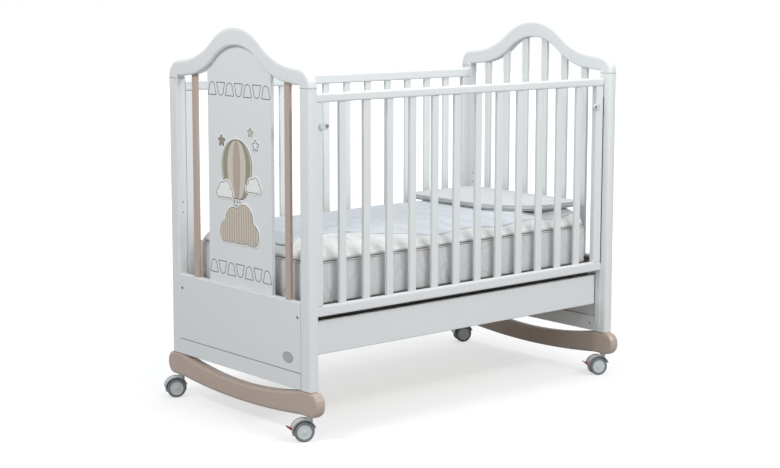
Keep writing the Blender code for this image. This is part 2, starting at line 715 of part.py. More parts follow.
def build_catch(end):
    """Oval catch housing on a stile's front face and its release button."""
    sign = end_side(end)
    stile_inner = DROP_HALF_LENGTH - STILE_WIDTH
    x = sign * (stile_inner + CATCH_OVERLAP - CATCH_LENGTH / 2)
    front = -SIDE_FRONT_Y - SEAT_GAP
    y = front - CATCH_THICKNESS / 2
    outline = even_rectangle(CATCH_LENGTH, CATCH_HEIGHT, CATCH_HEIGHT / 2 * CATCH_CORNER_SHARE)
    housing = board(f"catch_housing_{end}", outline, CATCH_THICKNESS, "Y", (x, y, CATCH_MIDDLE), GREY)
    round_rims(housing, lambda place: place.z > 0, SLAT_ROUND / 2, segments=2)
    button_x = x - sign * (CATCH_LENGTH / 2 - BUTTON_FROM_CATCH_END)
    along_y = AXIS_TURNS["Y"].to_4x4()
    bore = cylinder(f"catch_bore_{end}", BUTTON_RADIUS + BUTTON_PLAY, CATCH_THICKNESS + CUT_OVERRUN,
                    Matrix.Translation((button_x, y, CATCH_MIDDLE)) @ along_y, GREY)
    combined(housing, bore, "DIFFERENCE")
    length = CATCH_THICKNESS + BUTTON_PROUD
    button = cylinder(f"release_button_{end}", BUTTON_RADIUS, length,
                      Matrix.Translation((button_x, front - length / 2, CATCH_MIDDLE)) @ along_y, DARK)
    ease_edges(button, JOINT_CHAMFER)
    smooth(button)


def build_base():
    """Slatted mattress base, its slats housed in the rails, on a steel ledger at each end."""
    ledger_face = PANEL_INNER_X - SEAT_GAP
    half_length = ledger_face - LEDGER_THICKNESS - SEAT_GAP
    half_width = POST_INNER_Y - BASE_SIDE_CLEARANCE
    middle = BASE_RAIL_TOP - BASE_RAIL_HEIGHT / 2
    side_size = (2 * half_length, BASE_RAIL_THICKNESS, BASE_RAIL_HEIGHT)
    side_y = half_width - BASE_RAIL_THICKNESS / 2
    base = box("mattress_base", side_size, (0, -side_y, middle), BIRCH)
    others = [box("base_rear_rail", side_size, (0, side_y, middle), BIRCH)]
    for end in ("head", "foot"):
        others.append(box(f"base_{end}_rail", (BASE_RAIL_THICKNESS, 2 * side_y, BASE_RAIL_HEIGHT),
                          (end_side(end) * (half_length - BASE_RAIL_THICKNESS), 0, middle), BIRCH))
    reach = half_length - 2 * BASE_RAIL_THICKNESS - BASE_SLAT_WIDTH
    slat_length = 2 * (half_width - BASE_SLAT_SETBACK)
    slats = box("base_slats", (BASE_SLAT_WIDTH, slat_length, BASE_SLAT_THICKNESS),
                (-reach, 0, BASE_SLAT_FOOT + BASE_SLAT_THICKNESS / 2), BIRCH)
    others.append(repeated(slats, BASE_SLAT_COUNT, (2 * reach / (BASE_SLAT_COUNT - 1), 0, 0)))
    for other in others:
        combined(base, other, "UNION")
    shelf_top = BASE_RAIL_FOOT - SEAT_GAP
    shelf_foot = shelf_top - LEDGER_THICKNESS
    ledger_top = shelf_foot + LEDGER_HEIGHT
    for end in ("head", "foot"):
        sign = end_side(end)
        outline = [(sign * across, up) for across, up in (
            (0, shelf_foot), (0, ledger_top), (-LEDGER_THICKNESS, ledger_top),
            (-LEDGER_THICKNESS, shelf_top), (-LEDGER_REACH, shelf_top), (-LEDGER_REACH, shelf_foot))]
        board(f"base_ledger_{end}", outline, 2 * half_width, "Y", (sign * ledger_face, 0, 0), STEEL)


def build_drawer():
    """Drawer box behind its front, with the moving runner members on its walls."""
    half_front = POST_INNER_X - DRAWER_END_PLAY
    face = -HALF_WIDTH + DRAWER_FRONT_INSET
    back_of_front = face + DRAWER_FRONT_THICKNESS
    box("drawer_front", (2 * half_front, DRAWER_FRONT_THICKNESS, DRAWER_FRONT_HEIGHT),
        (0, face + DRAWER_FRONT_THICKNESS / 2, DRAWER_FRONT_FOOT + DRAWER_FRONT_HEIGHT / 2), WHITE,
        DRAWER_EDGE_ROUND)
    wall_foot = DRAWER_FRONT_FOOT + DRAWER_WALL_ABOVE_FRONT_FOOT
    wall_middle = wall_foot + DRAWER_WALL_HEIGHT / 2
    wall_outer = drawer_wall_outer()
    start = back_of_front + SEAT_GAP
    inner = wall_outer - DRAWER_WALL - SEAT_GAP
    box("drawer_back", (2 * inner, DRAWER_WALL, DRAWER_WALL_HEIGHT),
        (0, start + DRAWER_DEPTH - DRAWER_WALL / 2, wall_middle), BIRCH, JOINT_CHAMFER)
    bottom_depth = DRAWER_DEPTH - DRAWER_WALL - SEAT_GAP
    box("drawer_bottom", (2 * inner, bottom_depth, DRAWER_BOTTOM_THICKNESS),
        (0, start + bottom_depth / 2, wall_foot + DRAWER_BOTTOM_LIFT + DRAWER_BOTTOM_THICKNESS / 2), BIRCH)
    half = RUNNER_HEIGHT / 2 - RUNNER_SHEET - RUNNER_PLAY
    reach = runner_web_x() - RUNNER_PLAY - wall_outer - SEAT_GAP
    for end in ("head", "foot"):
        sign = end_side(end)
        box(f"drawer_side_{end}", (DRAWER_WALL, DRAWER_DEPTH, DRAWER_WALL_HEIGHT),
            (sign * (wall_outer - DRAWER_WALL / 2), start + DRAWER_DEPTH / 2, wall_middle), BIRCH,
            JOINT_CHAMFER)
        board(f"drawer_slide_{end}", channel_outline(half, reach, RUNNER_SHEET, sign), DRAWER_DEPTH, "Y",
              (sign * (wall_outer + SEAT_GAP), start + DRAWER_DEPTH / 2, RUNNER_MIDDLE), STEEL)


def drawer_wall_outer():
    """Outer face of the drawer's walls, the runner's space inside its web."""
    return runner_web_x() - RUNNER_SPACE


def runner_web_x():
    """Inner face of the fixed runner's web, which lets the moving one pass the guide tracks."""
    return DROP_HALF_LENGTH - RUNNER_TRACK_CLEARANCE


def channel_outline(half_height, reach, web, sign):
    """C section whose web stands at zero and whose flanges reach sideways."""
    inner = half_height - RUNNER_SHEET
    return [(sign * across, up) for across, up in (
        (0, -half_height), (reach, -half_height), (reach, -inner), (web, -inner), (web, inner),
        (reach, inner), (reach, half_height), (0, half_height))]


def build_runners():
    """Fixed runner channel on each lower panel, its thick web packed out to the drawer."""
    outer = PANEL_INNER_X - SEAT_GAP
    web = outer - runner_web_x()
    for end in ("head", "foot"):
        sign = end_side(end)
        board(f"drawer_runner_{end}", channel_outline(RUNNER_HEIGHT / 2, web + RUNNER_SPACE, web, -sign),
              DRAWER_DEPTH, "Y", (sign * outer, RUNNER_FRONT_Y + DRAWER_DEPTH / 2, RUNNER_MIDDLE), STEEL)


def sagged(half_span, middle, ends, steps):
    """Half of a shallow arc that passes through its middle height and its end heights."""
    sag = ends - middle
    radius = (half_span ** 2 + sag ** 2) / (2 * sag)
    points = []
    for index in range(steps + 1):
        across = half_span * index / steps
        points.append((across, middle + radius - math.sqrt(radius ** 2 - across ** 2)))
    return points


def build_rocker(end):
    """Curved rocker under both posts of an end, bored for the caster sockets."""
    top = POST_BOTTOM - SEAT_GAP
    reach = HALF_WIDTH + ROCKER_OVERHANG
    upper = sagged(POST_INNER_Y, ROCKER_TOP_MIDDLE, top, ARCH_STEPS)
    lower = sagged(HALF_WIDTH - ROCKER_PAD_INNER, ROCKER_MIDDLE_FOOT, ROCKER_PAD, ARCH_STEPS)
    radius = ROCKER_END_ROUND
    upper_corner = arc((reach - radius, top - radius), radius, 90, 0, CORNER_STEPS)
    lower_corner = arc((reach - radius, ROCKER_PAD + radius), radius, 0, -90, CORNER_STEPS)
    outline = mirrored_outline(upper + upper_corner + lower_corner + list(reversed(lower)))
    rocker = board(f"rocker_{end}", outline, END_THICKNESS, "X",
                   (depth_x(end, 0, END_THICKNESS), 0, 0), TAUPE)
    round_rims(rocker, lambda place: True, ROCKER_EDGE_ROUND, segments=2)
    smooth(rocker)
    depth = SOCKET_DEPTH + SEAT_GAP + CUT_OVERRUN
    for side in (-1, 1):
        place = Matrix.Translation((end_side(end) * STEM_X, side * STEM_Y,
                                    ROCKER_PAD - CUT_OVERRUN + depth / 2))
        bore = cylinder(f"rocker_bore_{end}_{side}", SOCKET_OUTER + SEAT_GAP, depth, place, TAUPE)
        combined(rocker, bore, "DIFFERENCE")


def build_sockets():
    """Flanged sleeves in the rockers that hold the caster stems."""
    top = ROCKER_PAD + SOCKET_DEPTH
    seat = ROCKER_PAD - SEAT_GAP
    foot = seat - SOCKET_FLANGE_THICKNESS
    profile = [(SOCKET_INNER, top), (SOCKET_OUTER, top), (SOCKET_OUTER, seat), (SOCKET_FLANGE_RADIUS, seat),
               (SOCKET_FLANGE_RADIUS, foot), (SOCKET_INNER, foot)]
    for end in ("head", "foot"):
        for side, word in ((-1, "front"), (1, "rear")):
            place = Matrix.Translation((end_side(end) * STEM_X, side * STEM_Y, 0))
            turned(f"caster_socket_{end}_{word}", profile, True, place, GREY)


def caster_frame(end, side):
    """Place of a caster: its stem's axis on the floor, local +X pointing where the wheel trails."""
    return Matrix.Translation((end_side(end) * STEM_X, side * STEM_Y, 0)) @ Matrix.Rotation(
        math.radians(CASTER_HEADING_DEGREES), 4, "Z")


def axle_place(frame):
    """Place of an axle: its middle, local Z along the axle."""
    return frame @ Matrix.Translation((CASTER_TRAIL, 0, WHEEL_RADIUS)) @ Matrix.Rotation(
        -math.pi / 2, 4, "X")


def sector_board(name, outline, width, frame):
    """Board of an outline in the caster's upright plane, about the axle."""
    item = board(name, outline, width, "Y", (0, 0, 0), GREY)
    axle = Matrix.Translation((CASTER_TRAIL, 0, WHEEL_RADIUS))
    item.matrix_world = frame @ axle @ AXIS_TURNS["Y"].to_4x4()
    return item


def build_housing(name, frame):
    """Caster housing: fin between the wheels, hood over them, boss and swivel stem."""
    fin = sector_board(name, arc((0, 0), HOOD_INNER + HOOD_THICKNESS / 2, FIN_START_DEGREES,
                                 FIN_END_DEGREES, HOOD_STEPS), FIN_THICKNESS, frame)
    band = arc((0, 0), HOOD_OUTER, HOOD_START_DEGREES, HOOD_END_DEGREES, HOOD_STEPS)
    band += arc((0, 0), HOOD_INNER, HOOD_END_DEGREES, HOOD_START_DEGREES, HOOD_STEPS)
    hood = sector_board(name + "_hood", band, 2 * WHEEL_OUTER_Y, frame)
    boss_top = ROCKER_PAD - SOCKET_FLANGE_THICKNESS - 2 * SEAT_GAP
    boss_height = boss_top - BOSS_FOOT
    boss = cylinder(name + "_boss", BOSS_RADIUS, boss_height,
                    frame @ Matrix.Translation((0, 0, BOSS_FOOT + boss_height / 2)), GREY)
    stem_foot = BOSS_FOOT + boss_height / 2
    stem_height = ROCKER_PAD + STEM_LENGTH - stem_foot
    stem = cylinder(name + "_stem", STEM_RADIUS, stem_height,
                    frame @ Matrix.Translation((0, 0, stem_foot + stem_height / 2)), GREY)
    axle = axle_place(frame)
    well_depth = WHEEL_WIDTH + WHEEL_SIDE_PLAY + CUT_OVERRUN
    well_middle = FIN_THICKNESS / 2 + well_depth / 2
    well = cylinder(name + "_well", HOOD_INNER - SEAT_GAP, well_depth,
                    axle @ Matrix.Translation((0, 0, well_middle)), GREY, steps=2 * WHEEL_STEPS)
    other_well = cylinder(name + "_other_well", HOOD_INNER - SEAT_GAP, well_depth,
                          axle @ Matrix.Translation((0, 0, -well_middle)), GREY, steps=2 * WHEEL_STEPS)
    bore = cylinder(name + "_axle_bore", AXLE_RADIUS + AXLE_PLAY, FIN_THICKNESS + CUT_OVERRUN, axle, GREY)
    for part in (hood, boss):
        combined(fin, part, "UNION")
    for cutter in (well, other_well):
        combined(fin, cutter, "DIFFERENCE")
    combined(fin, stem, "UNION")
    combined(fin, bore, "DIFFERENCE")


def build_wheels(name, frame):
    """Twin wheels on one axle, turned as one piece: dished hubs, flat treads, round shoulders."""
    outer, inner = WHEEL_OUTER_Y, WHEEL_INNER_Y
    half = [(0, outer - HUB_DISH), (HUB_RADIUS - HUB_LIP, outer - HUB_DISH), (HUB_RADIUS, outer),
            (WHEEL_RADIUS - TYRE_SHOULDER, outer), (WHEEL_RADIUS, outer - TYRE_SHOULDER),
            (WHEEL_RADIUS, inner + TYRE_SHOULDER), (WHEEL_RADIUS - TYRE_SHOULDER, inner),
            (AXLE_RADIUS, inner)]
    profile = half + [(radius, -height) for radius, height in reversed(half)]
    turned(name, profile, False, axle_place(frame), RUBBER)


def build_lever(name, frame):
    """Brake pedal whose knuckle sits on the trailing end of the hood."""
    seat = math.radians(LEVER_SEAT_DEGREES)
    reach = HOOD_OUTER + SEAT_GAP + LEVER_KNUCKLE_RADIUS
    pivot = (CASTER_TRAIL + reach * math.cos(seat), 0, WHEEL_RADIUS + reach * math.sin(seat))
    rise = LEVER_RISE_DEGREES
    knuckle = arc((0, 0), LEVER_KNUCKLE_RADIUS, rise + 90, rise + 270, 2 * CORNER_STEPS)
    along = Vector((math.cos(math.radians(rise)), math.sin(math.radians(rise))))
    across = Vector((-along.y, along.x))
    tip = [along * LEVER_LENGTH - across * LEVER_TIP_THICKNESS / 2,
           along * LEVER_LENGTH + across * LEVER_TIP_THICKNESS / 2]
    lever = board(name, knuckle + [tuple(point) for point in tip], LEVER_WIDTH, "Y", (0, 0, 0), RED)
    lever.matrix_world = frame @ Matrix.Translation(pivot) @ AXIS_TURNS["Y"].to_4x4()
    smooth(lever)


def build_casters():
    """Four casters; the two at the front have a brake lever."""
    for end in ("head", "foot"):
        for side, word in ((-1, "front"), (1, "rear")):
            frame = caster_frame(end, side)
            build_housing(f"caster_{end}_{word}", frame)
            build_wheels(f"wheels_{end}_{word}", frame)
            if word == "front":
                build_lever(f"brake_lever_{end}", frame)


def cushion(name, size, centre, crown, cells, material):
    """Soft block from a coarse cage: bulging sides drawn in between the corners, a crowned top."""
    length, width, height = size
    shape = bmesh.new()
    bmesh.ops.create_cube(shape, size=2)
    for axis, count in enumerate(cells):
        edges = [edge for edge in shape.edges
                 if abs(edge.verts[0].co[axis] - edge.verts[1].co[axis]) > 1]
        bmesh.ops.subdivide_edges(shape, edges=edges, cuts=count - 1, use_grid_fill=True)
    for vert in shape.verts:
        u, v, w = vert.co
        side_x = length / 2 - SOFT_SIDE_BULGE * w ** 2 - SOFT_SIDE_PULL * (1 - v ** 2)
        side_y = width / 2 - SOFT_SIDE_BULGE * w ** 2 - SOFT_SIDE_PULL * (1 - u ** 2)
        edge_share = max(abs(u), abs(v)) ** CROWN_EDGE_POWER
        drop = crown * edge_share if w > 0 else 0
        vert.co = (u * side_x, v * side_y, w * height / 2 - drop)
    mesh = bpy.data.meshes.new(name)
    shape.to_mesh(mesh)
    shape.free()
    item = mesh_object(name, mesh, Matrix.Translation(centre), material)
    soften = item.modifiers.new("soften", "SUBSURF")
    soften.levels = soften.render_levels = 1
    return smooth(item)


def build_bedding():
    """Mattress on the base, duvet over it and a folded quilt at the foot end."""
    foot = MATTRESS_FOOT + SEAT_GAP
    cushion("mattress", (MATTRESS_LENGTH, MATTRESS_WIDTH, MATTRESS_HEIGHT),
            (0, 0, foot + MATTRESS_HEIGHT / 2), 0, (10, 5, 2), TICKING)
    duvet_foot = foot + MATTRESS_HEIGHT + SEAT_GAP
    cushion("duvet", (MATTRESS_LENGTH - 2 * DUVET_INSET, MATTRESS_WIDTH - 2 * DUVET_INSET, DUVET_HEIGHT),
            (0, 0, duvet_foot + DUVET_HEIGHT / 2), DUVET_CROWN, (10, 6, 2), LINEN)
    quilt_foot = duvet_foot + DUVET_HEIGHT + SEAT_GAP
    quilt_x = MATTRESS_LENGTH / 2 - QUILT_FROM_MATTRESS_END - QUILT_LENGTH / 2
    cushion("folded_quilt", (QUILT_LENGTH, QUILT_WIDTH, QUILT_HEIGHT),
            (quilt_x, QUILT_SIDEWAYS, quilt_foot + QUILT_HEIGHT / 2), QUILT_CROWN, (4, 6, 2), LINEN)


clear_scene()
PARTS = collection("crib")
CUTTERS = collection("cutters")
WHITE = finish("white_lacquer", (0.80, 0.81, 0.80), 0.35)
TAUPE = finish("taupe_lacquer", (0.38, 0.31, 0.25), 0.40)
CREAM = finish("cream_plate", (0.75, 0.74, 0.70), 0.45)
BIRCH = finish("birch", (0.70, 0.62, 0.48), 0.60)
GREY = finish("pale_plastic", (0.72, 0.74, 0.74), 0.45)
DARK = finish("dark_plastic", (0.06, 0.06, 0.06), 0.45)
STEEL = finish("zinc_steel", (0.55, 0.56, 0.57), 0.35, 1.0)
RUBBER = finish("tyre_rubber", (0.08, 0.10, 0.10), 0.70)
RED = finish("red_plastic", (0.22, 0.01, 0.04), 0.40)
TICKING = finish("ticking", (0.52, 0.52, 0.51), 0.90)
LINEN = finish("linen", (0.70, 0.73, 0.80), 0.90)

for end_name in ("head", "foot"):
    build_posts(end_name)
    build_arch(end_name)
    build_bottom_rail(end_name)
    build_rocker(end_name)
    build_catch(end_name)
build_head_filling()
build_foot_filling()
build_badge()
build_side("rear", 1, SEAT_GAP, REAR_TOP_RAIL_TOP, REAR_TOP_RAIL_HEIGHT)
build_guides(build_side("drop", -1, DROP_END_PLAY, DROP_TOP_RAIL_TOP, TOP_RAIL_HEIGHT))
build_base()
build_drawer()
build_runners()
build_sockets()
build_casters()
build_bedding()
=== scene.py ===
"""Crib with arched ends, dressed for rendering: lacquer, bedding, fittings and a nursery picture.

Metres, +Z up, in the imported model's frame: the origin is on the floor below the middle of the
frame, +X runs to the foot end and -Y is the front, where the drop side is.
"""
from __future__ import annotations

import sys

import itertools
import json
import logging
import math
from dataclasses import dataclass, field
from enum import Enum
from typing import Any, Iterable, Sequence

import bmesh
import bpy
import numpy as np
from mathutils import Matrix, Vector

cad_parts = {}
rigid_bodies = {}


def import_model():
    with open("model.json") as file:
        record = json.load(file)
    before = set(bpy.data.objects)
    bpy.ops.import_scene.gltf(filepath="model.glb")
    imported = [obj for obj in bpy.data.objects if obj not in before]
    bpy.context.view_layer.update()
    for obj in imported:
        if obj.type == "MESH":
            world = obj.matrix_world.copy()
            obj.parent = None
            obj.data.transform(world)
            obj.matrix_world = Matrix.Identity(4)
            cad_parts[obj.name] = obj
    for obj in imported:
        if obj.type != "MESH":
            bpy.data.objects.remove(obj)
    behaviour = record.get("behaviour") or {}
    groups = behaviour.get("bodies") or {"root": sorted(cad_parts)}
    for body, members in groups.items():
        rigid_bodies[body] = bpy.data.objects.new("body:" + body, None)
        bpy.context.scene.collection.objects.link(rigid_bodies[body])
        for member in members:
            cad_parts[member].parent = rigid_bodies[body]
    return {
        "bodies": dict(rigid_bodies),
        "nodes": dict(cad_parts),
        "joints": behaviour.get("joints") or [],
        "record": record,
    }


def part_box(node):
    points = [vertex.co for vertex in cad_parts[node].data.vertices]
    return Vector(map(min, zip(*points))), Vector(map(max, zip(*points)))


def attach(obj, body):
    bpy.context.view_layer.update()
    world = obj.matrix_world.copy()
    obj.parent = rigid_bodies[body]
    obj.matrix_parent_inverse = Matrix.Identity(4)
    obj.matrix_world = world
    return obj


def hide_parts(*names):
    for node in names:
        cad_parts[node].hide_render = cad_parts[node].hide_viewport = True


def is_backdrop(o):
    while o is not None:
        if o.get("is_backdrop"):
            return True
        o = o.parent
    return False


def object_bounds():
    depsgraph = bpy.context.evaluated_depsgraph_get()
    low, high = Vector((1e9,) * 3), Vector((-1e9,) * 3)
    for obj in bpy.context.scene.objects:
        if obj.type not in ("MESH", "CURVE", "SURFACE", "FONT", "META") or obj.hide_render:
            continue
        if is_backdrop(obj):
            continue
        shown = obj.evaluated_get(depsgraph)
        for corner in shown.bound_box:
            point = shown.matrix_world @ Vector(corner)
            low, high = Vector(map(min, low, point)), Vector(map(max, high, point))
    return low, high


LOG = logging.getLogger("crib")
WELD = 1e-6
QUARTER = math.pi / 2
SMOOTH = 180.0
FRAME = "crib_frame"

Colour = tuple[float, float, float]
Point = tuple[float, float, float]
Pair = tuple[float, float]
Profile = tuple[Pair, ...]
Cells = tuple[int, int, int]
Array = np.ndarray


class Place(Enum):
    """Named place on the crib, by a sign."""

    @property
    def word(self) -> str:
        """Name used in node names."""
        return self.name.lower()


class End(Place):
    """End of the crib, by the sign of X."""

    HEAD = -1
    FOOT = 1


class Side(Place):
    """Long side of the crib, by the sign of Y."""

    FRONT = -1
    REAR = 1


class Run(Enum):
    """Direction in which a board's grain runs, as the stretch of its pattern."""

    UPRIGHT = (34.0, 34.0, 1.6)
    LENGTHWISE = (1.6, 34.0, 34.0)
    CROSSWISE = (34.0, 1.6, 34.0)


class Weave(Enum):
    """Cloth weave, as threads per metre."""

    FINE = 1500.0
    PLAIN = 900.0


# Shader maths


class Wire:
    """Output socket with arithmetic: each operator adds a Math node to its recipe."""

    def __init__(self, recipe: "Recipe", socket: bpy.types.NodeSocket) -> None:
        """Keep the recipe and the socket."""
        self.recipe = recipe
        self.socket = socket

    def _math(self, operation: str, *operands: "Wire | float") -> "Wire":
        """Math node of one operation on its operands."""
        return self.recipe.node("ShaderNodeMath", {"operation": operation}, dict(enumerate(operands)))

    def __add__(self, other: "Wire | float") -> "Wire":
        """Sum."""
        return self._math("ADD", self, other)

    __radd__ = __add__

    def __sub__(self, other: "Wire | float") -> "Wire":
        """Difference."""
        return self._math("SUBTRACT", self, other)

    def __rsub__(self, other: "Wire | float") -> "Wire":
        """Difference from a number."""
        return self._math("SUBTRACT", other, self)

    def __mul__(self, other: "Wire | float") -> "Wire":
        """Product."""
        return self._math("MULTIPLY", self, other)

    __rmul__ = __mul__

    def sine(self) -> "Wire":
        """Sine."""
        return self._math("SINE", self)

    def absolute(self) -> "Wire":
        """Absolute value."""
        return self._math("ABSOLUTE", self)

    def between(self, low: float, high: float) -> "Wire":
        """Smooth step from 0 at low to 1 at high."""
        return self.recipe.node("ShaderNodeMapRange", {"interpolation_type": "SMOOTHSTEP"},
                                {"Value": self, "From Min": low, "From Max": high})


class Recipe:
    """Node tree of one material or world, built from a few kinds of steps."""

    def __init__(self, owner: bpy.types.Material | bpy.types.World) -> None:
        """Start on the tree that a new material or world comes with.

        Args:
            owner: the material or world.
        """
        owner.use_nodes = True
        self.owner = owner
        self.tree = owner.node_tree
        self.shader = self.tree.nodes.get("Principled BSDF")

    def node(self, kind: str, settings: dict[str, Any] | None = None,
             sockets: dict[Any, Any] | None = None, output: int = 0) -> Wire:
        """Add a node.

        Args:
            kind: node type.
            settings: properties, set before the sockets.
            sockets: values or wires by socket name or index.
            output: index of the output that is returned.

        Returns:
            The wire of that output.
        """
        node = self.tree.nodes.new(kind)
        for name, value in (settings or {}).items():
            setattr(node, name, value)
        for key, value in (sockets or {}).items():
            self.feed(node.inputs[key], value)
        return Wire(self, node.outputs[output])

    def feed(self, socket: bpy.types.NodeSocket, value: Any) -> None:
        """Link a wire to a socket, or set the socket's value.

        Args:
            socket: input of a node.
            value: wire or plain value.
        """
        if isinstance(value, Wire):
            self.tree.links.new(value.socket, socket)
        else:
            socket.default_value = value

    def show(self, shader: Wire) -> None:
        """Feed a shader to the tree's output."""
        output = next(node for node in self.tree.nodes if node.bl_idname.startswith("ShaderNodeOutput"))
        self.feed(output.inputs["Surface"], shader)

    def place(self, stretch: Point = (1.0, 1.0, 1.0)) -> Wire:
        """Object coordinates, each multiplied by its stretch."""
        here = self.node("ShaderNodeTexCoord", output=3)
        return self.node("ShaderNodeVectorMath", {"operation": "MULTIPLY"}, {0: here, 1: stretch})

    def axes(self) -> list[Wire]:
        """X, Y and Z of the object coordinates, in metres."""
        apart = self.node("ShaderNodeSeparateXYZ", sockets={0: self.place()})
        return [Wire(self, output) for output in apart.socket.node.outputs]

    def noise(self, scale: float, detail: float = 2.0, distortion: float = 0.0,
              stretch: Point = (1.0, 1.0, 1.0)) -> Wire:
        """Noise from 0 to 1 on the object coordinates."""
        return self.node("ShaderNodeTexNoise", sockets={
            "Vector": self.place(stretch), "Scale": scale, "Detail": detail, "Distortion": distortion})

    def blend(self, factor: Wire, low: Colour, high: Colour) -> Wire:
        """Colour between two colours, from the low one at 0 to the high one at 1."""
        return self.node("ShaderNodeMix", {"data_type": "RGBA"},
                         {0: factor, 6: (*low, 1.0), 7: (*high, 1.0)}, 2)

    def mottled(self, factor: Wire, colour: Colour, by: float) -> Wire:
        """Colour that a factor makes darker or lighter by a share."""
        dark, light = (tuple(min(1.0, part * (1.0 + sign * by)) for part in colour) for sign in (-1, 1))
        return self.blend(factor, dark, light)

    def relief(self, height: Wire, depth: float) -> None:
        """Bump of a height whose full range is a depth in metres."""
        bump = self.node("ShaderNodeBump", sockets={"Height": height, "Distance": depth, "Strength": 1.0})
        self.feed(self.shader.inputs["Normal"], bump)

    def surface(self, **values: Any) -> bpy.types.Material:
        """Set the shader's sockets; an underscore in a name stands for a space.

        Args:
            **values: values or wires by socket name.

        Returns:
            The finished material.
        """
        for name, value in values.items():
            self.feed(self.shader.inputs[name.replace("_", " ")], value)
        return self.owner


# Finishes


@dataclass(frozen=True)
class Finish:
    """Surface of one kind, named as its material, with the record's slot that it belongs to."""

    name: str
    slot: str
    colour: Colour

    def recipe(self) -> Recipe:
        """Recipe of a new material with this finish's name."""
        return Recipe(bpy.data.materials.new(self.name))

    def material(self) -> bpy.types.Material:
        """Build the material."""
        raise NotImplementedError


@dataclass(frozen=True)
class Lacquer(Finish):
    """Sprayed satin lacquer: the board's grain shows faintly, and the coat has a peel of its own depth."""

    run: Run = Run.UPRIGHT
    grain: float = 0.012
    roughness: float = 0.36
    peel: float = 0.00004

    def material(self) -> bpy.types.Material:
        """Build the material.

        Returns:
            The material.
        """
        recipe = self.recipe()
        grain = recipe.noise(scale=3.0, detail=4.0, distortion=0.6, stretch=self.run.value)
        cloud = recipe.noise(scale=5.0)
        peel = recipe.noise(scale=420.0, detail=1.0)
        recipe.relief(peel * 0.7 + grain * 0.3, self.peel)
        return recipe.surface(Base_Color=recipe.mottled(grain * 0.7 + cloud * 0.3, self.colour, self.grain),
                              Roughness=self.roughness - 0.05 + 0.10 * cloud,
                              Coat_Weight=0.12, Coat_Roughness=0.22)


@dataclass(frozen=True)
class Timber(Finish):
    """Bare sanded wood with growth bands and fine pores."""

    band: Colour
    run: Run = Run.LENGTHWISE
    depth: float = 0.0002

    def material(self) -> bpy.types.Material:
        """Build the material.

        Returns:
            The material.
        """
        recipe = self.recipe()
        bands = recipe.noise(scale=1.4, detail=5.0, distortion=1.6, stretch=self.run.value)
        pores = recipe.noise(scale=14.0, stretch=self.run.value)
        recipe.relief(bands * 0.4 + pores * 0.6, self.depth)
        return recipe.surface(
            Base_Color=recipe.blend((bands * 0.8 + pores * 0.2).between(0.32, 0.68), self.colour, self.band),
            Roughness=0.55 + 0.15 * pores, Specular_IOR_Level=0.35)


@dataclass(frozen=True)
class Moulded(Finish):
    """Injection-moulded plastic or rubber with a fine eroded grain, its grit in waves per metre."""

    roughness: float = 0.45
    grit: float = 700.0
    depth: float = 0.00005

    def material(self) -> bpy.types.Material:
        """Build the material.

        Returns:
            The material.
        """
        recipe = self.recipe()
        cloud = recipe.noise(scale=22.0)
        recipe.relief(recipe.noise(scale=self.grit), self.depth)
        return recipe.surface(Base_Color=recipe.mottled(cloud, self.colour, 0.07),
                              Roughness=self.roughness - 0.06 + 0.12 * cloud)


@dataclass(frozen=True)
class TwoToneStrip(Finish):
    """Guide track: pale, with painted shade of the narrow gap beside the drop side, dark above a height and
    pale below it.
    """

    # dark colour above the change: painted shade of the gap beside the drop side
    upper: Colour
    change: float
    blur: float = 0.003
    depth: float = 0.00005

    def material(self) -> bpy.types.Material:
        """Build the material.

        Returns:
            The material.
        """
        recipe = self.recipe()
        above = recipe.axes()[2].between(self.change - self.blur, self.change + self.blur)
        grit = recipe.noise(scale=500.0)
        recipe.relief(grit, self.depth)
        return recipe.surface(Base_Color=recipe.blend(above, self.colour, self.upper),
                              Roughness=0.42 + 0.1 * grit)


@dataclass(frozen=True)
class Plated(Finish):
    """Zinc-plated sheet steel with drawn streaks."""

    run: Run = Run.CROSSWISE
    depth: float = 0.00005

    def material(self) -> bpy.types.Material:
        """Build the material.

        Returns:
            The material.
        """
        recipe = self.recipe()
        streak = recipe.noise(scale=9.0, detail=3.0, stretch=self.run.value)
        spangle = recipe.noise(scale=60.0, detail=1.0)
        recipe.relief(streak, self.depth)
        return recipe.surface(Base_Color=recipe.mottled(spangle, self.colour, 0.1), Metallic=1.0,
                              Roughness=0.24 + 0.22 * streak)


@dataclass(frozen=True)
class Cloth(Finish):
    """Woven cloth: threads along the object's axes, slubs, a soft bloom, and fine creases if it has any.

    The creases' depth is a multiple of the weave's.
    """

    weave: Weave = Weave.PLAIN
    mottling: float = 0.04
    depth: float = 0.00012
    creases: float = 0.0

    def material(self) -> bpy.types.Material:
        """Build the material; the weave is a product of thread waves along the three axes.

        Returns:
            The material.
        """
        recipe = self.recipe()
        turns = self.weave.value * math.pi
        warp, weft, rise = ((axis * turns).sine().absolute() for axis in recipe.axes())
        threads = warp * weft + weft * rise + rise * warp
        slubs = recipe.noise(scale=30.0, detail=3.0, stretch=(1.0, 8.0, 8.0))
        cloud = recipe.noise(scale=7.0, detail=3.0)
        height = threads * 0.6 + slubs * 0.4
        if self.creases:
            fold = recipe.noise(scale=1.0, detail=1.0, distortion=0.7, stretch=(13.0, 13.0, 6.0))
            height = height + (fold - 0.5).absolute().between(0.0, 0.06) * self.creases
        recipe.relief(height, self.depth)
        return recipe.surface(
            Base_Color=recipe.mottled(cloud * 0.6 + slubs * 0.4, self.colour, self.mottling),
            Roughness=0.86 + 0.08 * slubs, Specular_IOR_Level=0.2, Sheen_Weight=0.25, Sheen_Roughness=0.5)


WHITE: Colour = (0.80, 0.82, 0.82)
TAUPE: Colour = (0.530, 0.428, 0.362)
GREY: Colour = (0.225, 0.238, 0.242)
BIRCH: Colour = (0.71, 0.60, 0.44)
BIRCH_BAND: Colour = (0.56, 0.43, 0.28)

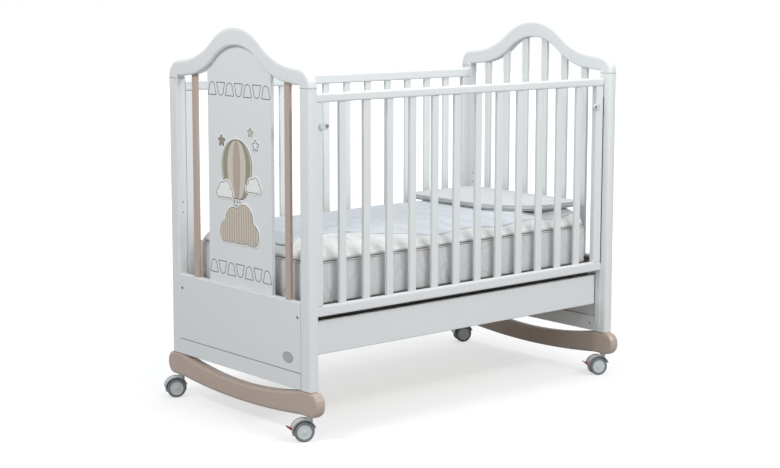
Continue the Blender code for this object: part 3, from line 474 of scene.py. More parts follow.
FINISHES: tuple[Finish, ...] = (
    Lacquer("white_upright", "white_lacquer", WHITE, Run.UPRIGHT),
    Lacquer("white_lengthwise", "white_lacquer", WHITE, Run.LENGTHWISE),
    Lacquer("white_crosswise", "white_lacquer", WHITE, Run.CROSSWISE),
    Lacquer("taupe_upright", "taupe_lacquer", TAUPE, Run.UPRIGHT, 0.05),
    Lacquer("taupe_crosswise", "taupe_lacquer", TAUPE, Run.CROSSWISE, 0.05),
    Lacquer("picture_white", "white_lacquer", (0.93, 0.93, 0.90), Run.UPRIGHT, 0.01),
    Lacquer("cream_paint", "cream_plate", (0.68, 0.63, 0.53), Run.UPRIGHT, 0.03, 0.42),
    Lacquer("olive_paint", "taupe_lacquer", (0.36, 0.325, 0.250), Run.UPRIGHT, 0.04, 0.45),
    Lacquer("silver_plate", "cream_plate", (0.47, 0.48, 0.47), Run.CROSSWISE, 0.05, 0.28),
    Lacquer("line_paint", "dark_plastic", (0.060, 0.060, 0.064), Run.UPRIGHT, 0.05, 0.5),
    Timber("birch_lengthwise", "birch", BIRCH, BIRCH_BAND, Run.LENGTHWISE),
    Timber("birch_crosswise", "birch", BIRCH, BIRCH_BAND, Run.CROSSWISE),
    Moulded("pale_plastic", "pale_plastic", (0.66, 0.70, 0.70), 0.42),
    Moulded("dark_plastic", "dark_plastic", (0.016, 0.018, 0.020), 0.40),
    Moulded("grey_plastic", "dark_plastic", GREY, 0.48),
    Moulded("tyre", "tyre_rubber", GREY, 0.66, 260.0, 0.0002),
    Moulded("red_plastic", "red_plastic", (0.36, 0.012, 0.045), 0.32),
    # guide track: the dark upper colour is painted shade of the gap between drop side and post
    TwoToneStrip("track", "dark_plastic", WHITE, (0.07, 0.075, 0.078), 0.395),
    Plated("steel", "zinc_steel", (0.58, 0.59, 0.60)),
    Cloth("ticking", "ticking", (0.670, 0.665, 0.665), Weave.PLAIN, 0.05, 0.00012, 13.0),
    # piping: its dark grey is partly its own colour and partly painted shade of the seam
    Cloth("piping", "ticking", (0.36, 0.345, 0.335), Weave.FINE, 0.08, 0.0001),
    Cloth("pad", "linen", (0.685, 0.680, 0.672), Weave.FINE, 0.04, 0.0001, 7.0),
    # sheet: its blue tint is partly its own colour and partly painted cool light on the bedding's top
    Cloth("sheet", "linen", (0.575, 0.605, 0.635), Weave.FINE, 0.03, 0.00008),
    Cloth("quilt", "linen", (0.610, 0.625, 0.635), Weave.PLAIN, 0.04),
)


class Palette:
    """Materials of the crib, each built once."""

    def __init__(self) -> None:
        """Build every finish."""
        self.materials = {finish.name: finish.material() for finish in FINISHES}
        self.slots = {finish.name: finish.slot for finish in FINISHES}

    def paint(self, node: bpy.types.Object, finish: str) -> None:
        """Give every slot of a CAD node a finish.

        Args:
            node: the CAD node.
            finish: name of the finish.
        """
        if not node.data.materials:
            node.data.materials.append(self.materials[finish])
        for index in range(len(node.data.materials)):
            node.data.materials[index] = self.materials[finish]


# Surfaces


@dataclass(frozen=True)
class Plane:
    """Flat place on the crib: two directions in it and the one that points out of it."""

    origin: Point
    right: Point
    up: Point
    out: Point

    @classmethod
    def end(cls, origin: Point, sign: int) -> "Plane":
        """Upright plane that faces along X with a sign, its right towards the front."""
        return cls(origin, (0.0, -1.0, 0.0), (0.0, 0.0, 1.0), (1.0 * sign, 0.0, 0.0))

    @classmethod
    def front(cls, origin: Point) -> "Plane":
        """Upright plane that faces the front."""
        return cls(origin, (1.0, 0.0, 0.0), (0.0, 0.0, 1.0), (0.0, -1.0, 0.0))

    def lay(self, points: Array) -> Array:
        """Points (right, up, out) in this plane, as points of the crib's frame."""
        return np.asarray(self.origin) + points @ np.array([self.right, self.up, self.out])


def grid_faces(rows: int, columns: int, wrap_rows: bool, wrap_columns: bool) -> Array:
    """Quads between neighbours of a grid of points.

    Args:
        rows: number of rows.
        columns: number of columns.
        wrap_rows: join the last row to the first.
        wrap_columns: join the last column to the first.

    Returns:
        Point indices, four to a face.
    """
    row, column = np.meshgrid(np.arange(rows if wrap_rows else rows - 1),
                              np.arange(columns if wrap_columns else columns - 1), indexing="ij")
    next_row, next_column = (row + 1) % rows, (column + 1) % columns
    corners = (row * columns + column, row * columns + next_column,
               next_row * columns + next_column, next_row * columns + column)
    return np.stack(corners, axis=-1).reshape(-1, 4)


@dataclass
class Shell:
    """Points and faces of one or more closed surfaces."""

    points: Array
    faces: list[list[int]]

    @classmethod
    def of_grid(cls, points: Array, wrap_rows: bool = False, capped: bool = True) -> "Shell":
        """Shell of rings of points.

        Args:
            points: grid of rows x columns x 3, whose rows are closed rings.
            wrap_rows: join the last ring to the first, as on a torus.
            capped: close the first and last rings with a face each.

        Returns:
            The shell.
        """
        rows, columns = points.shape[:2]
        faces = grid_faces(rows, columns, wrap_rows, True).tolist()
        if capped and not wrap_rows:
            faces += [list(range(columns))[::-1], list(range((rows - 1) * columns, rows * columns))]
        return cls(points.reshape(-1, 3), faces)

    def laid(self, plane: Plane) -> "Shell":
        """This shell, taken from a plane's own directions to the crib's frame."""
        return Shell(plane.lay(self.points), self.faces)


def together(shells: Sequence[Shell]) -> Shell:
    """Several shells as one.

    Args:
        shells: the shells.

    Returns:
        Their points and faces in one shell.
    """
    starts = np.cumsum([0] + [len(shell.points) for shell in shells]).tolist()
    faces = [[index + start for index in face]
             for shell, start in zip(shells, starts) for face in shell.faces]
    return Shell(np.concatenate([shell.points for shell in shells]), faces)


def carried_round(section: Array, about: Array) -> Array:
    """Section of (radius, height) points carried round the third axis.

    Args:
        section: radii and heights.
        about: angles, one for each row of the grid.

    Returns:
        Grid of points: radius times cosine, radius times sine, height.
    """
    radii, heights = section.T
    return np.stack([np.outer(np.cos(about), radii), np.outer(np.sin(about), radii),
                     np.broadcast_to(heights, (len(about), len(heights)))], axis=-1)


def circle(steps: int) -> Array:
    """Angles of a full turn."""
    return np.linspace(0.0, 2 * math.pi, steps, endpoint=False)


def turned(profile: Profile, plane: Plane, steps: int) -> Shell:
    """Surface of revolution: a profile from pole to pole goes round the plane's outward direction."""
    rings = carried_round(np.array(profile, float), circle(steps)).swapaxes(0, 1)
    return Shell.of_grid(rings, capped=False).laid(plane)


def torus(middle: Pair, tube: Pair, plane: Plane, steps: tuple[int, int]) -> Shell:
    """Ring with an oval section, round the plane's outward direction.

    Args:
        middle: radius and height of the section's middle.
        tube: half width and half height of the section.
        plane: its origin and outward direction give the axis.
        steps: points round the ring and round its section.

    Returns:
        The shell.
    """
    turn = circle(steps[1])
    section = np.stack([middle[0] + tube[0] * np.cos(turn), middle[1] + tube[1] * np.sin(turn)], axis=1)
    return Shell.of_grid(carried_round(section, circle(steps[0])), wrap_rows=True).laid(plane)


def carried_along(path: Array, across: Array, heights: Array, closed: bool = True) -> Shell:
    """Section carried along a level path, standing on the path's normals.

    A normal is the chord between a point's neighbours, turned to its right.

    Args:
        path: points in the plane.
        across: how far each point of the section stands off the path.
        heights: height of each point of the section.
        closed: whether the path is a loop.

    Returns:
        The shell, in the plane's own directions.
    """
    chord = np.roll(path, -1, axis=0) - np.roll(path, 1, axis=0) if closed else np.gradient(path, axis=0)
    chord /= np.linalg.norm(chord, axis=1, keepdims=True) + WELD
    normals = np.stack([chord[:, 1], -chord[:, 0]], axis=1)
    level = np.broadcast_to(heights[None, :, None], (len(path), len(heights), 1))
    rings = np.concatenate([path[:, None] + normals[:, None] * across[None, :, None], level], axis=-1)
    return Shell.of_grid(rings, wrap_rows=closed)


def bead(path: Array, width: float, top: float, foot: float = 0.0, closed: bool = True) -> Shell:
    """Raised line: a low half-round section carried along a path.

    Args:
        path: points in the plane.
        width: width of the line.
        top: height of its crest.
        foot: height of its underside, a little below which it is closed.
        closed: whether the path is a loop.

    Returns:
        The shell, in the plane's own directions.
    """
    turn = np.linspace(0.0, math.pi, 6)
    across = np.concatenate([np.cos(turn), [-1.0, 1.0]]) * width / 2
    heights = np.concatenate([foot + (top - foot) * np.sin(turn), [foot - WELD * 50] * 2])
    return carried_along(path, across, heights, closed)


def round_rope(loop: Array, level: float, radius: float, steps: int = 10) -> Shell:
    """Closed tube about a level loop: its circle stands on the loop's normal and on Z."""
    turn = circle(steps)
    return carried_along(loop, radius * np.cos(turn), level + radius * np.sin(turn))


def rounded_loop(low: Array, high: Array, radii: Sequence[float], steps: int = 12) -> Array:
    """Rectangle with a quarter circle at each corner, as an anticlockwise loop.

    Args:
        low: lowest corner.
        high: highest corner.
        radii: radius at the (+X, +Y), (-X, +Y), (-X, -Y) and (+X, -Y) corners.
        steps: points in a quarter circle.

    Returns:
        The loop's points in the plane.
    """
    arcs = []
    for index, radius in enumerate(radii):
        sign = np.array(((1, 1), (-1, 1), (-1, -1), (1, -1))[index])
        angle = np.linspace(0.0, QUARTER, steps)[:, None] + index * QUARTER
        corner = np.where(sign > 0, high[:2], low[:2]) - sign * radius
        arcs.append(corner + radius * np.concatenate([np.cos(angle), np.sin(angle)], axis=1))
    return np.concatenate(arcs)


def grown(outline: Array, by: float) -> Array:
    """Outline moved outwards along the rays from its middle."""
    ray = outline - outline.mean(axis=0)
    return outline.mean(axis=0) + ray * (1 + by / np.linalg.norm(ray, axis=1, keepdims=True))


def plate(outline: Array, top: float, ease: float) -> Shell:
    """Flat plate with an eased upper edge: the outline rises, then draws in along a quarter circle.

    Args:
        outline: anticlockwise points in the plane, each seen from their middle.
        top: height of the face.
        ease: radius of the eased edge.

    Returns:
        The shell, in the plane's own directions; its faces are fans about their middle.
    """
    turn = np.linspace(0.0, QUARTER, 3)
    insets = np.concatenate([[0.0], ease * (1 - np.cos(turn))])
    heights = np.concatenate([[0.0], top - ease + ease * np.sin(turn)])
    count = len(outline)
    rings = [np.concatenate([grown(outline, -inset), np.full((count, 1), height)], axis=1)
             for inset, height in zip(insets, heights)]
    shell = Shell.of_grid(np.stack(rings), capped=False)
    for start, height in ((0, 0.0), ((len(rings) - 1) * count, top)):
        around = start + np.arange(count)
        hub = np.full(count, len(shell.points))
        shell.points = np.concatenate([shell.points, [[*outline.mean(axis=0), height]]])
        shell.faces += np.stack([around, np.roll(around, -1), hub], axis=1).tolist()
    return shell


def ribbon(left: Array, right: Array, top: float, ease: float) -> Shell:
    """Flat strip between two edges that run side by side, with both upper edges eased.

    Args:
        left: points of one edge.
        right: as many points of the other edge.
        top: height of the face.
        ease: size of the eased edges, at most 0.3 of the width.

    Returns:
        The shell, in the plane's own directions.
    """
    across = right - left
    width = np.linalg.norm(across, axis=1, keepdims=True)
    inward = across / width * np.minimum(ease, width * 0.3)
    edges = (left, left, left + inward, right - inward, right, right)
    heights = (0.0, top - ease, top, top, top - ease, 0.0)
    rings = [np.concatenate([edge, np.full((len(edge), 1), height)], axis=1)
             for edge, height in zip(edges, heights)]
    return Shell.of_grid(np.stack(rings, axis=1))


def lattice(cells: Cells) -> tuple[Array, Array]:
    """Closed box of points from -1 to 1, denser towards its edges, with its quads.

    Each of the six faces is a grid, and points that two faces share are merged.

    Args:
        cells: number of cells along each axis.

    Returns:
        Points and faces.
    """
    corners, faces, start = [], [], 0
    for axis in range(3):
        second, third = (axis + 1) % 3, (axis + 2) % 3
        rows, columns = cells[second] + 1, cells[third] + 1
        for side in (0, 1):
            row, column = np.meshgrid(np.arange(rows), np.arange(columns), indexing="ij")
            whole = np.zeros((rows * columns, 3), int)
            whole[:, axis] = side * cells[axis]
            whole[:, second], whole[:, third] = row.ravel(), column.ravel()
            quads = grid_faces(rows, columns, False, False) + start
            faces.append(quads if side else quads[:, ::-1])
            corners.append(whole)
            start += len(whole)
    merged, index = np.unique(np.concatenate(corners), axis=0, return_inverse=True)
    even = merged / np.array(cells) * 2.0 - 1.0
    return np.sign(even) * (1.0 - (1.0 - np.abs(even)) ** 1.5), index.reshape(-1)[np.concatenate(faces)]


def softened_box(unit: Array, half: Sequence[float], edge: float, corner: float) -> Array:
    """Box lattice rounded in two steps.

    First every edge is rounded: what stands out beyond the inner box is drawn onto a ball of the
    edge's radius. Then the plan's corners are rounded the same way with their own radius.

    Args:
        unit: lattice points from -1 to 1.
        half: half sizes.
        edge: radius of the edges.
        corner: radius of the plan's corners.

    Returns:
        The rounded points.
    """
    points = unit * np.array(half)
    for radius, axes in ((edge, (0, 1, 2)), (corner, (0, 1))):
        part = points[:, axes]
        inner = np.array([half[axis] for axis in axes]) - radius
        core = np.clip(part, -inner, inner)
        beyond = part - core
        length = np.linalg.norm(beyond, axis=1, keepdims=True)
        reach = np.abs(beyond).max(axis=1, keepdims=True)
        points[:, axes] = core + beyond * reach / np.maximum(length, WELD)
    return points


# Pieces


def placed(name: str, data: Any) -> bpy.types.Object:
    """Object of a mesh, lamp or camera, in the scene.

    Args:
        name: name of the object.
        data: what it holds.

    Returns:
        The object.
    """
    item = bpy.data.objects.new(name, data)
    bpy.context.scene.collection.objects.link(item)
    return item


class Workshop:
    """Makes the scene's pieces: each gets its mesh, finish and body, and is reported."""

    def __init__(self, palette: Palette) -> None:
        """Keep the finishes."""
        self.palette = palette
        self.count = 0

    def piece(self, name: str, finish: str, *shells: Shell, body: str = FRAME,
              sharp: float = 38.0) -> bpy.types.Object:
        """Make a piece from shells.

        Args:
            name: name of the piece.
            finish: name of its finish.
            *shells: its surfaces, in the crib's frame.
            body: body that it rides on.
            sharp: angle in degrees above which an edge stays sharp.

        Returns:
            The object.
        """
        whole = together(shells)
        mesh = bpy.data.meshes.new(name)
        mesh.from_pydata(whole.points.tolist(), [], whole.faces)
        shape = bmesh.new()
        shape.from_mesh(mesh)
        bmesh.ops.remove_doubles(shape, verts=shape.verts, dist=WELD)
        bmesh.ops.recalc_face_normals(shape, faces=shape.faces)
        shape.to_mesh(mesh)
        shape.free()
        mesh.shade_smooth()
        mesh.set_sharp_from_angle(angle=math.radians(sharp))
        return self.dress(placed(name, mesh), finish, body)

    def dress(self, item: bpy.types.Object, finish: str, body: str = FRAME) -> bpy.types.Object:
        """Give an object its finish and body, and report it.

        Args:
            item: the object.
            finish: name of its finish.
            body: body that it rides on.

        Returns:
            The same object.
        """
        item.data.materials.clear()
        item.data.materials.append(self.palette.materials[finish])
        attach(item, body)
        self.count += 1
        LOG.info("piece %s: %d faces, %s, on %s", item.name, len(item.data.polygons), finish, body)
        return item


def positions(mesh: bpy.types.Mesh) -> Array:
    """Points of a mesh.

    Args:
        mesh: the mesh.

    Returns:
        Its points, one to a row.
    """
    flat = np.empty(len(mesh.vertices) * 3)
    mesh.vertices.foreach_get("co", flat)
    return flat.reshape(-1, 3)


def settle(item: bpy.types.Object) -> Array:
    """Apply an object's modifiers.

    Args:
        item: the object.

    Returns:
        The points of its new mesh.
    """
    graph = bpy.context.evaluated_depsgraph_get()
    mesh = bpy.data.meshes.new_from_object(item.evaluated_get(graph))
    item.modifiers.clear()
    item.data = mesh
    return positions(mesh)


def ease_between(value: Array, low: float, high: float) -> Array:
    """Smooth step of an array from 0 at low to 1 at high."""
    part = np.clip((value - low) / (high - low), 0.0, 1.0)
    return part * part * (3 - 2 * part)


@dataclass(frozen=True)
class ClothRun:
    """Swelling of a closed shape as stuffed cloth, held below its seam.

    The shape is cut into even cells, the slack makes it pucker, and no point moves past the cap.
    """

    voxel: float
    pressure: float
    slack: float
    cap: float
    seam: float
    frames: int = 20

    def swell(self, item: bpy.types.Object) -> None:
        """Run the cloth on an object and keep the result in its mesh.

        Args:
            item: the object.
        """
        remesh = item.modifiers.new("even", "REMESH")
        remesh.mode = "VOXEL"
        remesh.voxel_size = self.voxel
        before = settle(item)
        even = item.data
        seams = item.vertex_groups.new(name="seams")
        seams.add(np.flatnonzero(before[:, 2] < self.seam).tolist(), 1.0, "REPLACE")
        cloth = item.modifiers.new("cloth", "CLOTH")
        cloth.settings.use_pressure = True
        cloth.settings.uniform_pressure_force = self.pressure
        cloth.settings.shrink_min = -self.slack
        cloth.settings.vertex_group_mass = seams.name
        cloth.settings.effector_weights.gravity = 0.0
        cloth.settings.bending_stiffness = 0.3
        cloth.collision_settings.use_collision = False
        for frame in range(1, self.frames + 1):
            bpy.context.scene.frame_set(frame)
        moved = settle(item) - before
        length = np.linalg.norm(moved, axis=1, keepdims=True)
        moved *= np.minimum(1.0, self.cap / np.maximum(length, WELD))
        item.data = even
        even.vertices.foreach_set("co", (before + moved).ravel())
        item.vertex_groups.clear()
        bpy.context.scene.frame_set(1)


@dataclass(frozen=True)
class Creases:
    """Fine creases down the sides of the mattress.

    A crease is a groove: a bell curve along the side, leaning a little, which fades as another
    bell curve up and down. A pair holds the least and greatest value.
    """

    pitch: float = 0.021
    reach: float = 0.63
    stray: float = 0.012
    lean: float = 0.060
    fade: Pair = (0.25, 0.6)
    depth: Pair = (0.0008, 0.0046)
    width: Pair = (0.004, 0.010)
    deepest: float = 0.0056

    def depths(self, run: Array, level: Array, middles: Iterable[float], seed: int) -> Array:
        """Depth of the creases at each point.

        Args:
            run: place of each point along its side.
            level: height of each point, from 0 to 1.
            middles: middle of each side's run.
            seed: seed of the random draws.

        Returns:
            The depths.
        """
        rng = np.random.default_rng(seed)
        crease = np.zeros(len(run))
        spread = np.arange(-self.reach, self.reach, self.pitch)
        for centre in np.concatenate([middle + spread for middle in middles]):
            stray, lean = rng.uniform(-self.stray, self.stray), rng.normal(0.0, self.lean)
            shift = run - centre - stray - lean * (level - 0.5)
            fade = np.exp(-((level - rng.uniform(0.0, 1.0)) / rng.uniform(*self.fade)) ** 2)
            crease += rng.uniform(*self.depth) * np.exp(-(shift / rng.uniform(*self.width)) ** 2) * fade
        return np.minimum(crease, self.deepest)


@dataclass(frozen=True)
class Folds:
    """Soft folds of the top sheet: low ridges, each a bell curve, narrow across and wide along.

    A pair holds the least and greatest value, and the heading's its mean and spread.
    """

    count: int = 20
    centre_x: Pair = (-0.60, 0.25)
    centre_y: Pair = (-0.26, 0.24)
    heading: Pair = (0.15, 0.45)
    length: Pair = (0.08, 0.22)
    width: Pair = (0.008, 0.020)
    rise: Pair = (0.0015, 0.0050)
    highest: float = 0.0065

    def heights(self, x: Array, y: Array, seed: int) -> Array:
        """Height of the folds at each point.

        Args:
            x: X of each point.
            y: Y of each point.
            seed: seed of the random draws.

        Returns:
            The heights, before their cap.
        """
        rng = np.random.default_rng(seed)
        folds = np.zeros_like(x)
        for _ in range(self.count):
            centre_x, centre_y = rng.uniform(*self.centre_x), rng.uniform(*self.centre_y)
            heading = rng.normal(*self.heading)
            forth = (x - centre_x) * math.cos(heading) + (y - centre_y) * math.sin(heading)
            aside = (y - centre_y) * math.cos(heading) - (x - centre_x) * math.sin(heading)
            length, width = rng.uniform(*self.length), rng.uniform(*self.width)
            folds += rng.uniform(*self.rise) * np.exp(-(forth / length) ** 2 - (aside / width) ** 2)
        return folds


def room(node: str) -> tuple[Array, Array]:
    """Lowest and highest corner of a CAD node, as arrays."""
    low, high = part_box(node)
    return np.array(low), np.array(high)


@dataclass
class Bedding:
    """Mattress, topper, top sheet and folded quilt, inside the room that the CAD solids hold."""

    shop: Workshop
    seed: int = 7
    creases: Creases = Creases()
    folds: Folds = Folds()
    corner: float = 0.050
    mattress_cells: Cells = (300, 84, 26)
    mattress_inset: float = 0.0040
    mattress_edge: float = 0.004
    mattress_swell: float = 0.0034
    piping: float = 0.0013
    piping_out: float = 0.0006
    piping_above: float = 0.0040
    piping_below: float = 0.0008
    topper_cells: Cells = (96, 56, 12)
    topper_inset: float = 0.003
    topper_seam: float = 0.010
    topper_foot: float = 0.0004
    topper_spare: float = 0.0026
    roll: float = 0.082
    far_roll: float = 0.028
    crown: float = 0.006
    tuck: float = 0.0015
    clear_below: Point = (0.001, 0.001, 0.0003)
    clear_above: Point = (0.001, 0.001, 0.0016)
    sheet_grid: tuple[int, int] = (180, 110)
    sheet_ends: Pair = (0.045, 0.012)
    sheet_front: float = -0.272
    sheet_drawn: float = 0.105
    sheet_drawn_over: Pair = (0.10, 0.48)
    sheet_rear: float = 0.262
    sheet_thickness: float = 0.0008
    sheet_clear: float = 0.0004
    quilt_cells: Cells = (64, 88, 8)
    quilt_layers: tuple[Pair, ...] = ((0.013, 0.0), (0.003, 0.4), (0.001, 1.1))
    quilt_corner: float = 0.022
    quilt_recess: Pair = (0.155, 0.150)

    def build(self) -> None:
        """Build every soft piece from the box of its CAD node."""
        self.mattress()
        self.top_sheet(self.topper())
        self.folded_quilt()

    def mattress(self) -> None:
        """Foam block in a cover: flat top and bottom, sides that swell as a parabola, less the creases.

        Each side's run is shifted by a length of its own, so that no two sides share a crease.
        """
        low, high = room("mattress")
        middle, half = (low + high) / 2, (high - low) / 2
        half[:2] -= self.mattress_inset
        long_shift, short_shift = 4, 9
        unit, faces = lattice(self.mattress_cells)
        points = softened_box(unit, half, self.mattress_edge, self.corner) + middle
        level = (points[:, 2] - low[2]) / (high[2] - low[2])
        lengthwise = np.abs(unit[:, 0]) <= np.abs(unit[:, 1])
        side = np.clip(np.maximum(np.abs(unit[:, 0]), np.abs(unit[:, 1])) * 40 - 39, 0, 1)
        run = np.where(lengthwise, points[:, 0] + long_shift * np.sign(unit[:, 1]),
                       points[:, 1] + short_shift * np.sign(unit[:, 0]))
        middles = (-long_shift, long_shift, -short_shift, short_shift)
        swell = self.mattress_swell * (1 - (2 * level - 1) ** 2)
        push = (swell - self.creases.depths(run, level, middles, self.seed)) * side
        points[:, 0] += np.where(lengthwise, 0, np.sign(unit[:, 0])) * push
        points[:, 1] += np.where(lengthwise, np.sign(unit[:, 1]), 0) * push
        item = self.shop.piece("mattress_pad", "ticking", Shell(points, faces.tolist()), sharp=60.0)
        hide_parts("mattress")
        reach = half + self.piping_out
        loop = rounded_loop(middle - reach, middle + reach, (self.corner,) * 4)
        for word, height in (("upper", high[2] - self.piping_below), ("lower", low[2] + self.piping_above)):
            rope = round_rope(loop, height, self.piping)
            self.shop.piece(f"mattress_piping_{word}", "piping", rope, sharp=SMOOTH)

    def topper(self) -> bpy.types.Object:
        """Puffy pad on the mattress, rolled over at its sides, swollen as cloth above the seam.

        Up the side the height goes with the sine and the inset with one less the cosine of an angle
        that turns a quarter circle; the seam at its foot draws the side in. The roll is wide at the
        front and at the head end, and tight below the quilt, at the rear and at the foot end.

        Returns:
            The pad.
        """
        low, high = room("duvet")
        middle, half = (low + high) / 2, (high - low) / 2 - self.topper_inset
        unit, faces = lattice(self.topper_cells)
        turn = (unit[:, 2] + 1) / 2 * QUARTER
        foot, height = low[2] + self.topper_foot, high[2] - low[2] - self.crown - self.topper_spare
        plan = softened_box(unit * (1.0, 1.0, 0.0), (half[0], half[1], 1.0), WELD, self.corner)[:, :2]
        roll = np.where(plan > 0, self.far_roll, self.roll)
        inset = roll * (1 - np.cos(turn))[:, None] + (self.tuck * np.exp(-(turn / 0.2) ** 2))[:, None]
        points = np.empty_like(unit)
        points[:, :2] = plan * (half[:2] - inset) / half[:2] + middle[:2]
        dome = (1 - unit[:, 0] ** 6) * (1 - unit[:, 1] ** 6) * np.sin(turn)
        points[:, 2] = foot + height * np.sin(turn) + self.crown * dome
        item = self.shop.piece("topper_pad", "pad", Shell(points, faces.tolist()), sharp=SMOOTH)
        ClothRun(voxel=0.009, pressure=2.5, slack=0.012, cap=0.006, seam=foot + self.topper_seam).swell(item)
        self.shop.dress(item, "pad")
        kept = np.clip(positions(item.data), low + self.clear_below, high - self.clear_above)
        item.data.vertices.foreach_set("co", kept.ravel())
        item.data.update()
        soften = item.modifiers.new("soften", "SUBSURF")
        soften.levels = soften.render_levels = 1
        item.data.shade_smooth()
        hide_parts("duvet")
        return item

    def top_sheet(self, topper: bpy.types.Object) -> None:
        """Thin sheet laid over the topper with soft folds; its front edge draws back at the head end.

        Its edges wave as sines. It starts along the topper's rolled form and is then projected
        down onto the topper, and the folds are added, fading out before the quilt.

        Args:
            topper: the pad that it lies on.
        """
        low, high = room("duvet")
        rows, columns = self.sheet_grid
        along = np.linspace(low[0] + self.sheet_ends[0], high[0] - self.sheet_ends[1], rows)
        front = self.sheet_front + self.sheet_drawn * ease_between(-along, *self.sheet_drawn_over)
        front += 0.006 * np.sin(along * 23.0)
        rear = self.sheet_rear + 0.004 * np.sin(along * 19.0 + 1.0)
        x = np.broadcast_to(along[:, None], (rows, columns)).copy()
        y = front[:, None] + (rear - front)[:, None] * np.linspace(0.0, 1.0, columns)
        x += 0.018 * ease_between(-x, 0.45, 0.60) * np.sin(y * 14.0)
        edge = np.minimum(high[1] - self.topper_inset - np.abs(y), high[0] - self.topper_inset - np.abs(x))
        fall = 1 - np.sqrt(np.clip(1 - (1 - np.clip(edge / self.roll, 0, 1)) ** 2, 0, 1))
        z = high[2] - 0.0008 - (high[2] - low[2] - self.crown) * fall
        quilt = room("folded_quilt")[0][0]
        folds = self.folds.heights(x, y, self.seed + 4) * (1 - ease_between(x, quilt - 0.045, quilt - 0.010))
        faces = grid_faces(rows, columns, False, False)
        shell = Shell(np.stack([x, y, z], axis=-1).reshape(-1, 3), faces.tolist())
        item = self.shop.piece("top_sheet", "sheet", shell, sharp=SMOOTH)
        lie = item.modifiers.new("lie", "SHRINKWRAP")
        lie.target = topper
        lie.wrap_method = "PROJECT"
        lie.use_project_z = lie.use_negative_direction = lie.use_positive_direction = True
        lie.offset = self.sheet_clear
        laid = settle(item)
        laid[:, 2] += np.minimum(folds, self.folds.highest).ravel()
        item.data.vertices.foreach_set("co", laid.ravel())
        self.shop.dress(item, "sheet")
        thick = item.modifiers.new("thickness", "SOLIDIFY")
        thick.thickness = self.sheet_thickness
        thick.offset = 1.0
        item.data.shade_smooth()

    def folded_quilt(self) -> None:
        """Quilt folded to three layers with its near corner drawn back; the lowest is set in.

        Each layer is a flat pillow whose height sways as a product of sines. The front edge of the
        plan runs back towards the head end, by a power of the distance.
        """
        low, high = room("folded_quilt")
        layer = (high[2] - low[2] - 0.0006) / 3
        unit, faces = lattice(self.quilt_cells)
        recess, recess_run = self.quilt_recess
        shells = []
        for index, (back, sway) in enumerate(self.quilt_layers):
            half = np.array([*((high[:2] - low[:2]) / 2 - back), layer / 2 - 0.0001])
            points = softened_box(unit, half, float(half[2]) * 0.96, self.quilt_corner)
            points[:, :2] += (low[:2] + high[:2]) / 2
            front, rear = low[1] + back, high[1] - back
            drawn = recess * np.clip((low[0] + recess_run - points[:, 0]) / recess_run, 0.0, 1.0) ** 1.5
            points[:, 1] += drawn * (rear - points[:, 1]) / (rear - front)
            edge = ease_between(np.maximum(np.abs(unit[:, 0]), np.abs(unit[:, 1])), 0.86, 1.0)
            points[:, 0] += 0.0008 * edge * np.sin(points[:, 1] * 41.0 + sway * 5)
            waves = np.sin(points[:, 0] * 37.0 + sway) * np.sin(points[:, 1] * 29.0)
            points[:, 2] *= 1.0 - 0.10 * waves * (1 - edge)
            points[:, 2] += low[2] + 0.0003 + layer * (index + 0.5)
            shells.append(Shell(np.clip(points, low, high), faces.tolist()))
        item = self.shop.piece("quilt_folded", "quilt", *shells, sharp=60.0)
        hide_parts("folded_quilt")


# Picture on the head end's centre panel


class Layer(float, Enum):
    """Height of each layer of the picture over the panel."""

    FRIEZE = 0.0004
    FAR_BACKING = 0.0010
    GORE = 0.0016
    STAR = 0.0017
    SEAM = 0.0019
    BASKET = 0.0020
    FAR_LINE = 0.0021
    NEAR_BACKING = 0.0023
    BANK = 0.0027
    STRIPE = 0.0030
    NEAR_LINE = 0.0033


CLOUD_LOBES = np.array([(-0.31, -0.10, 0.19), (-0.14, 0.09, 0.21), (0.12, 0.13, 0.23), (0.32, -0.09, 0.18),
                        (0.0, -0.08, 0.22)])
CLOUD_BASE = 0.245


def polar(turn: Array, reach: Array | float) -> Array:
    """Points at an angle and a distance from the middle."""
    return np.stack([reach * np.cos(turn), reach * np.sin(turn)], axis=1)


def star_outline(radius: float) -> Array:
    """Five soft points: the radius swings with the cosine of five times the angle."""
    turn = circle(80)
    return polar(turn, radius * (0.74 + 0.26 * np.cos(5 * (turn - QUARTER))))


def cloud_outline(width: float) -> Array:
    """Cloud: the furthest reach of a ray over the circles of its lobes, cut level at the base.

    Args:
        width: width of the cloud.

    Returns:
        The outline's points.
    """
    ray = polar(circle(144), 1.0)
    along = ray @ CLOUD_LOBES[:, :2].T
    off = CLOUD_LOBES[:, 0] * ray[:, 1:2] - CLOUD_LOBES[:, 1] * ray[:, 0:1]
    room_left = CLOUD_LOBES[:, 2] ** 2 - off ** 2
    reach = np.where(room_left > 0, along + np.sqrt(np.maximum(room_left, 0)), 0).max(axis=1)
    base = np.where(ray[:, 1] < 0, CLOUD_BASE / np.maximum(-ray[:, 1], WELD), 9.0)
    return ray * np.minimum(reach, base)[:, None] * width


def bell_outline(width: float, height: float) -> Array:
    """Bell: a half-round crown, sides that swing out along a sine, and a level foot.

    Args:
        width: width of the foot.
        height: height of the bell.

    Returns:
        The outline's points.
    """
    turn = np.linspace(0.0, math.pi, 22)
    crown = np.stack([0.36 * width * np.cos(turn), 0.05 * height + 0.45 * height * np.sin(turn)], axis=1)
    down = np.linspace(0.0, 1.0, 12)[1:]
    swing = 0.36 + 0.14 * (0.5 - 0.5 * np.cos(down * math.pi))
    left = np.stack([-swing * width, 0.05 * height - 0.55 * height * down], axis=1)
    return np.concatenate([crown, left, left[::-1] * (-1.0, 1.0)])


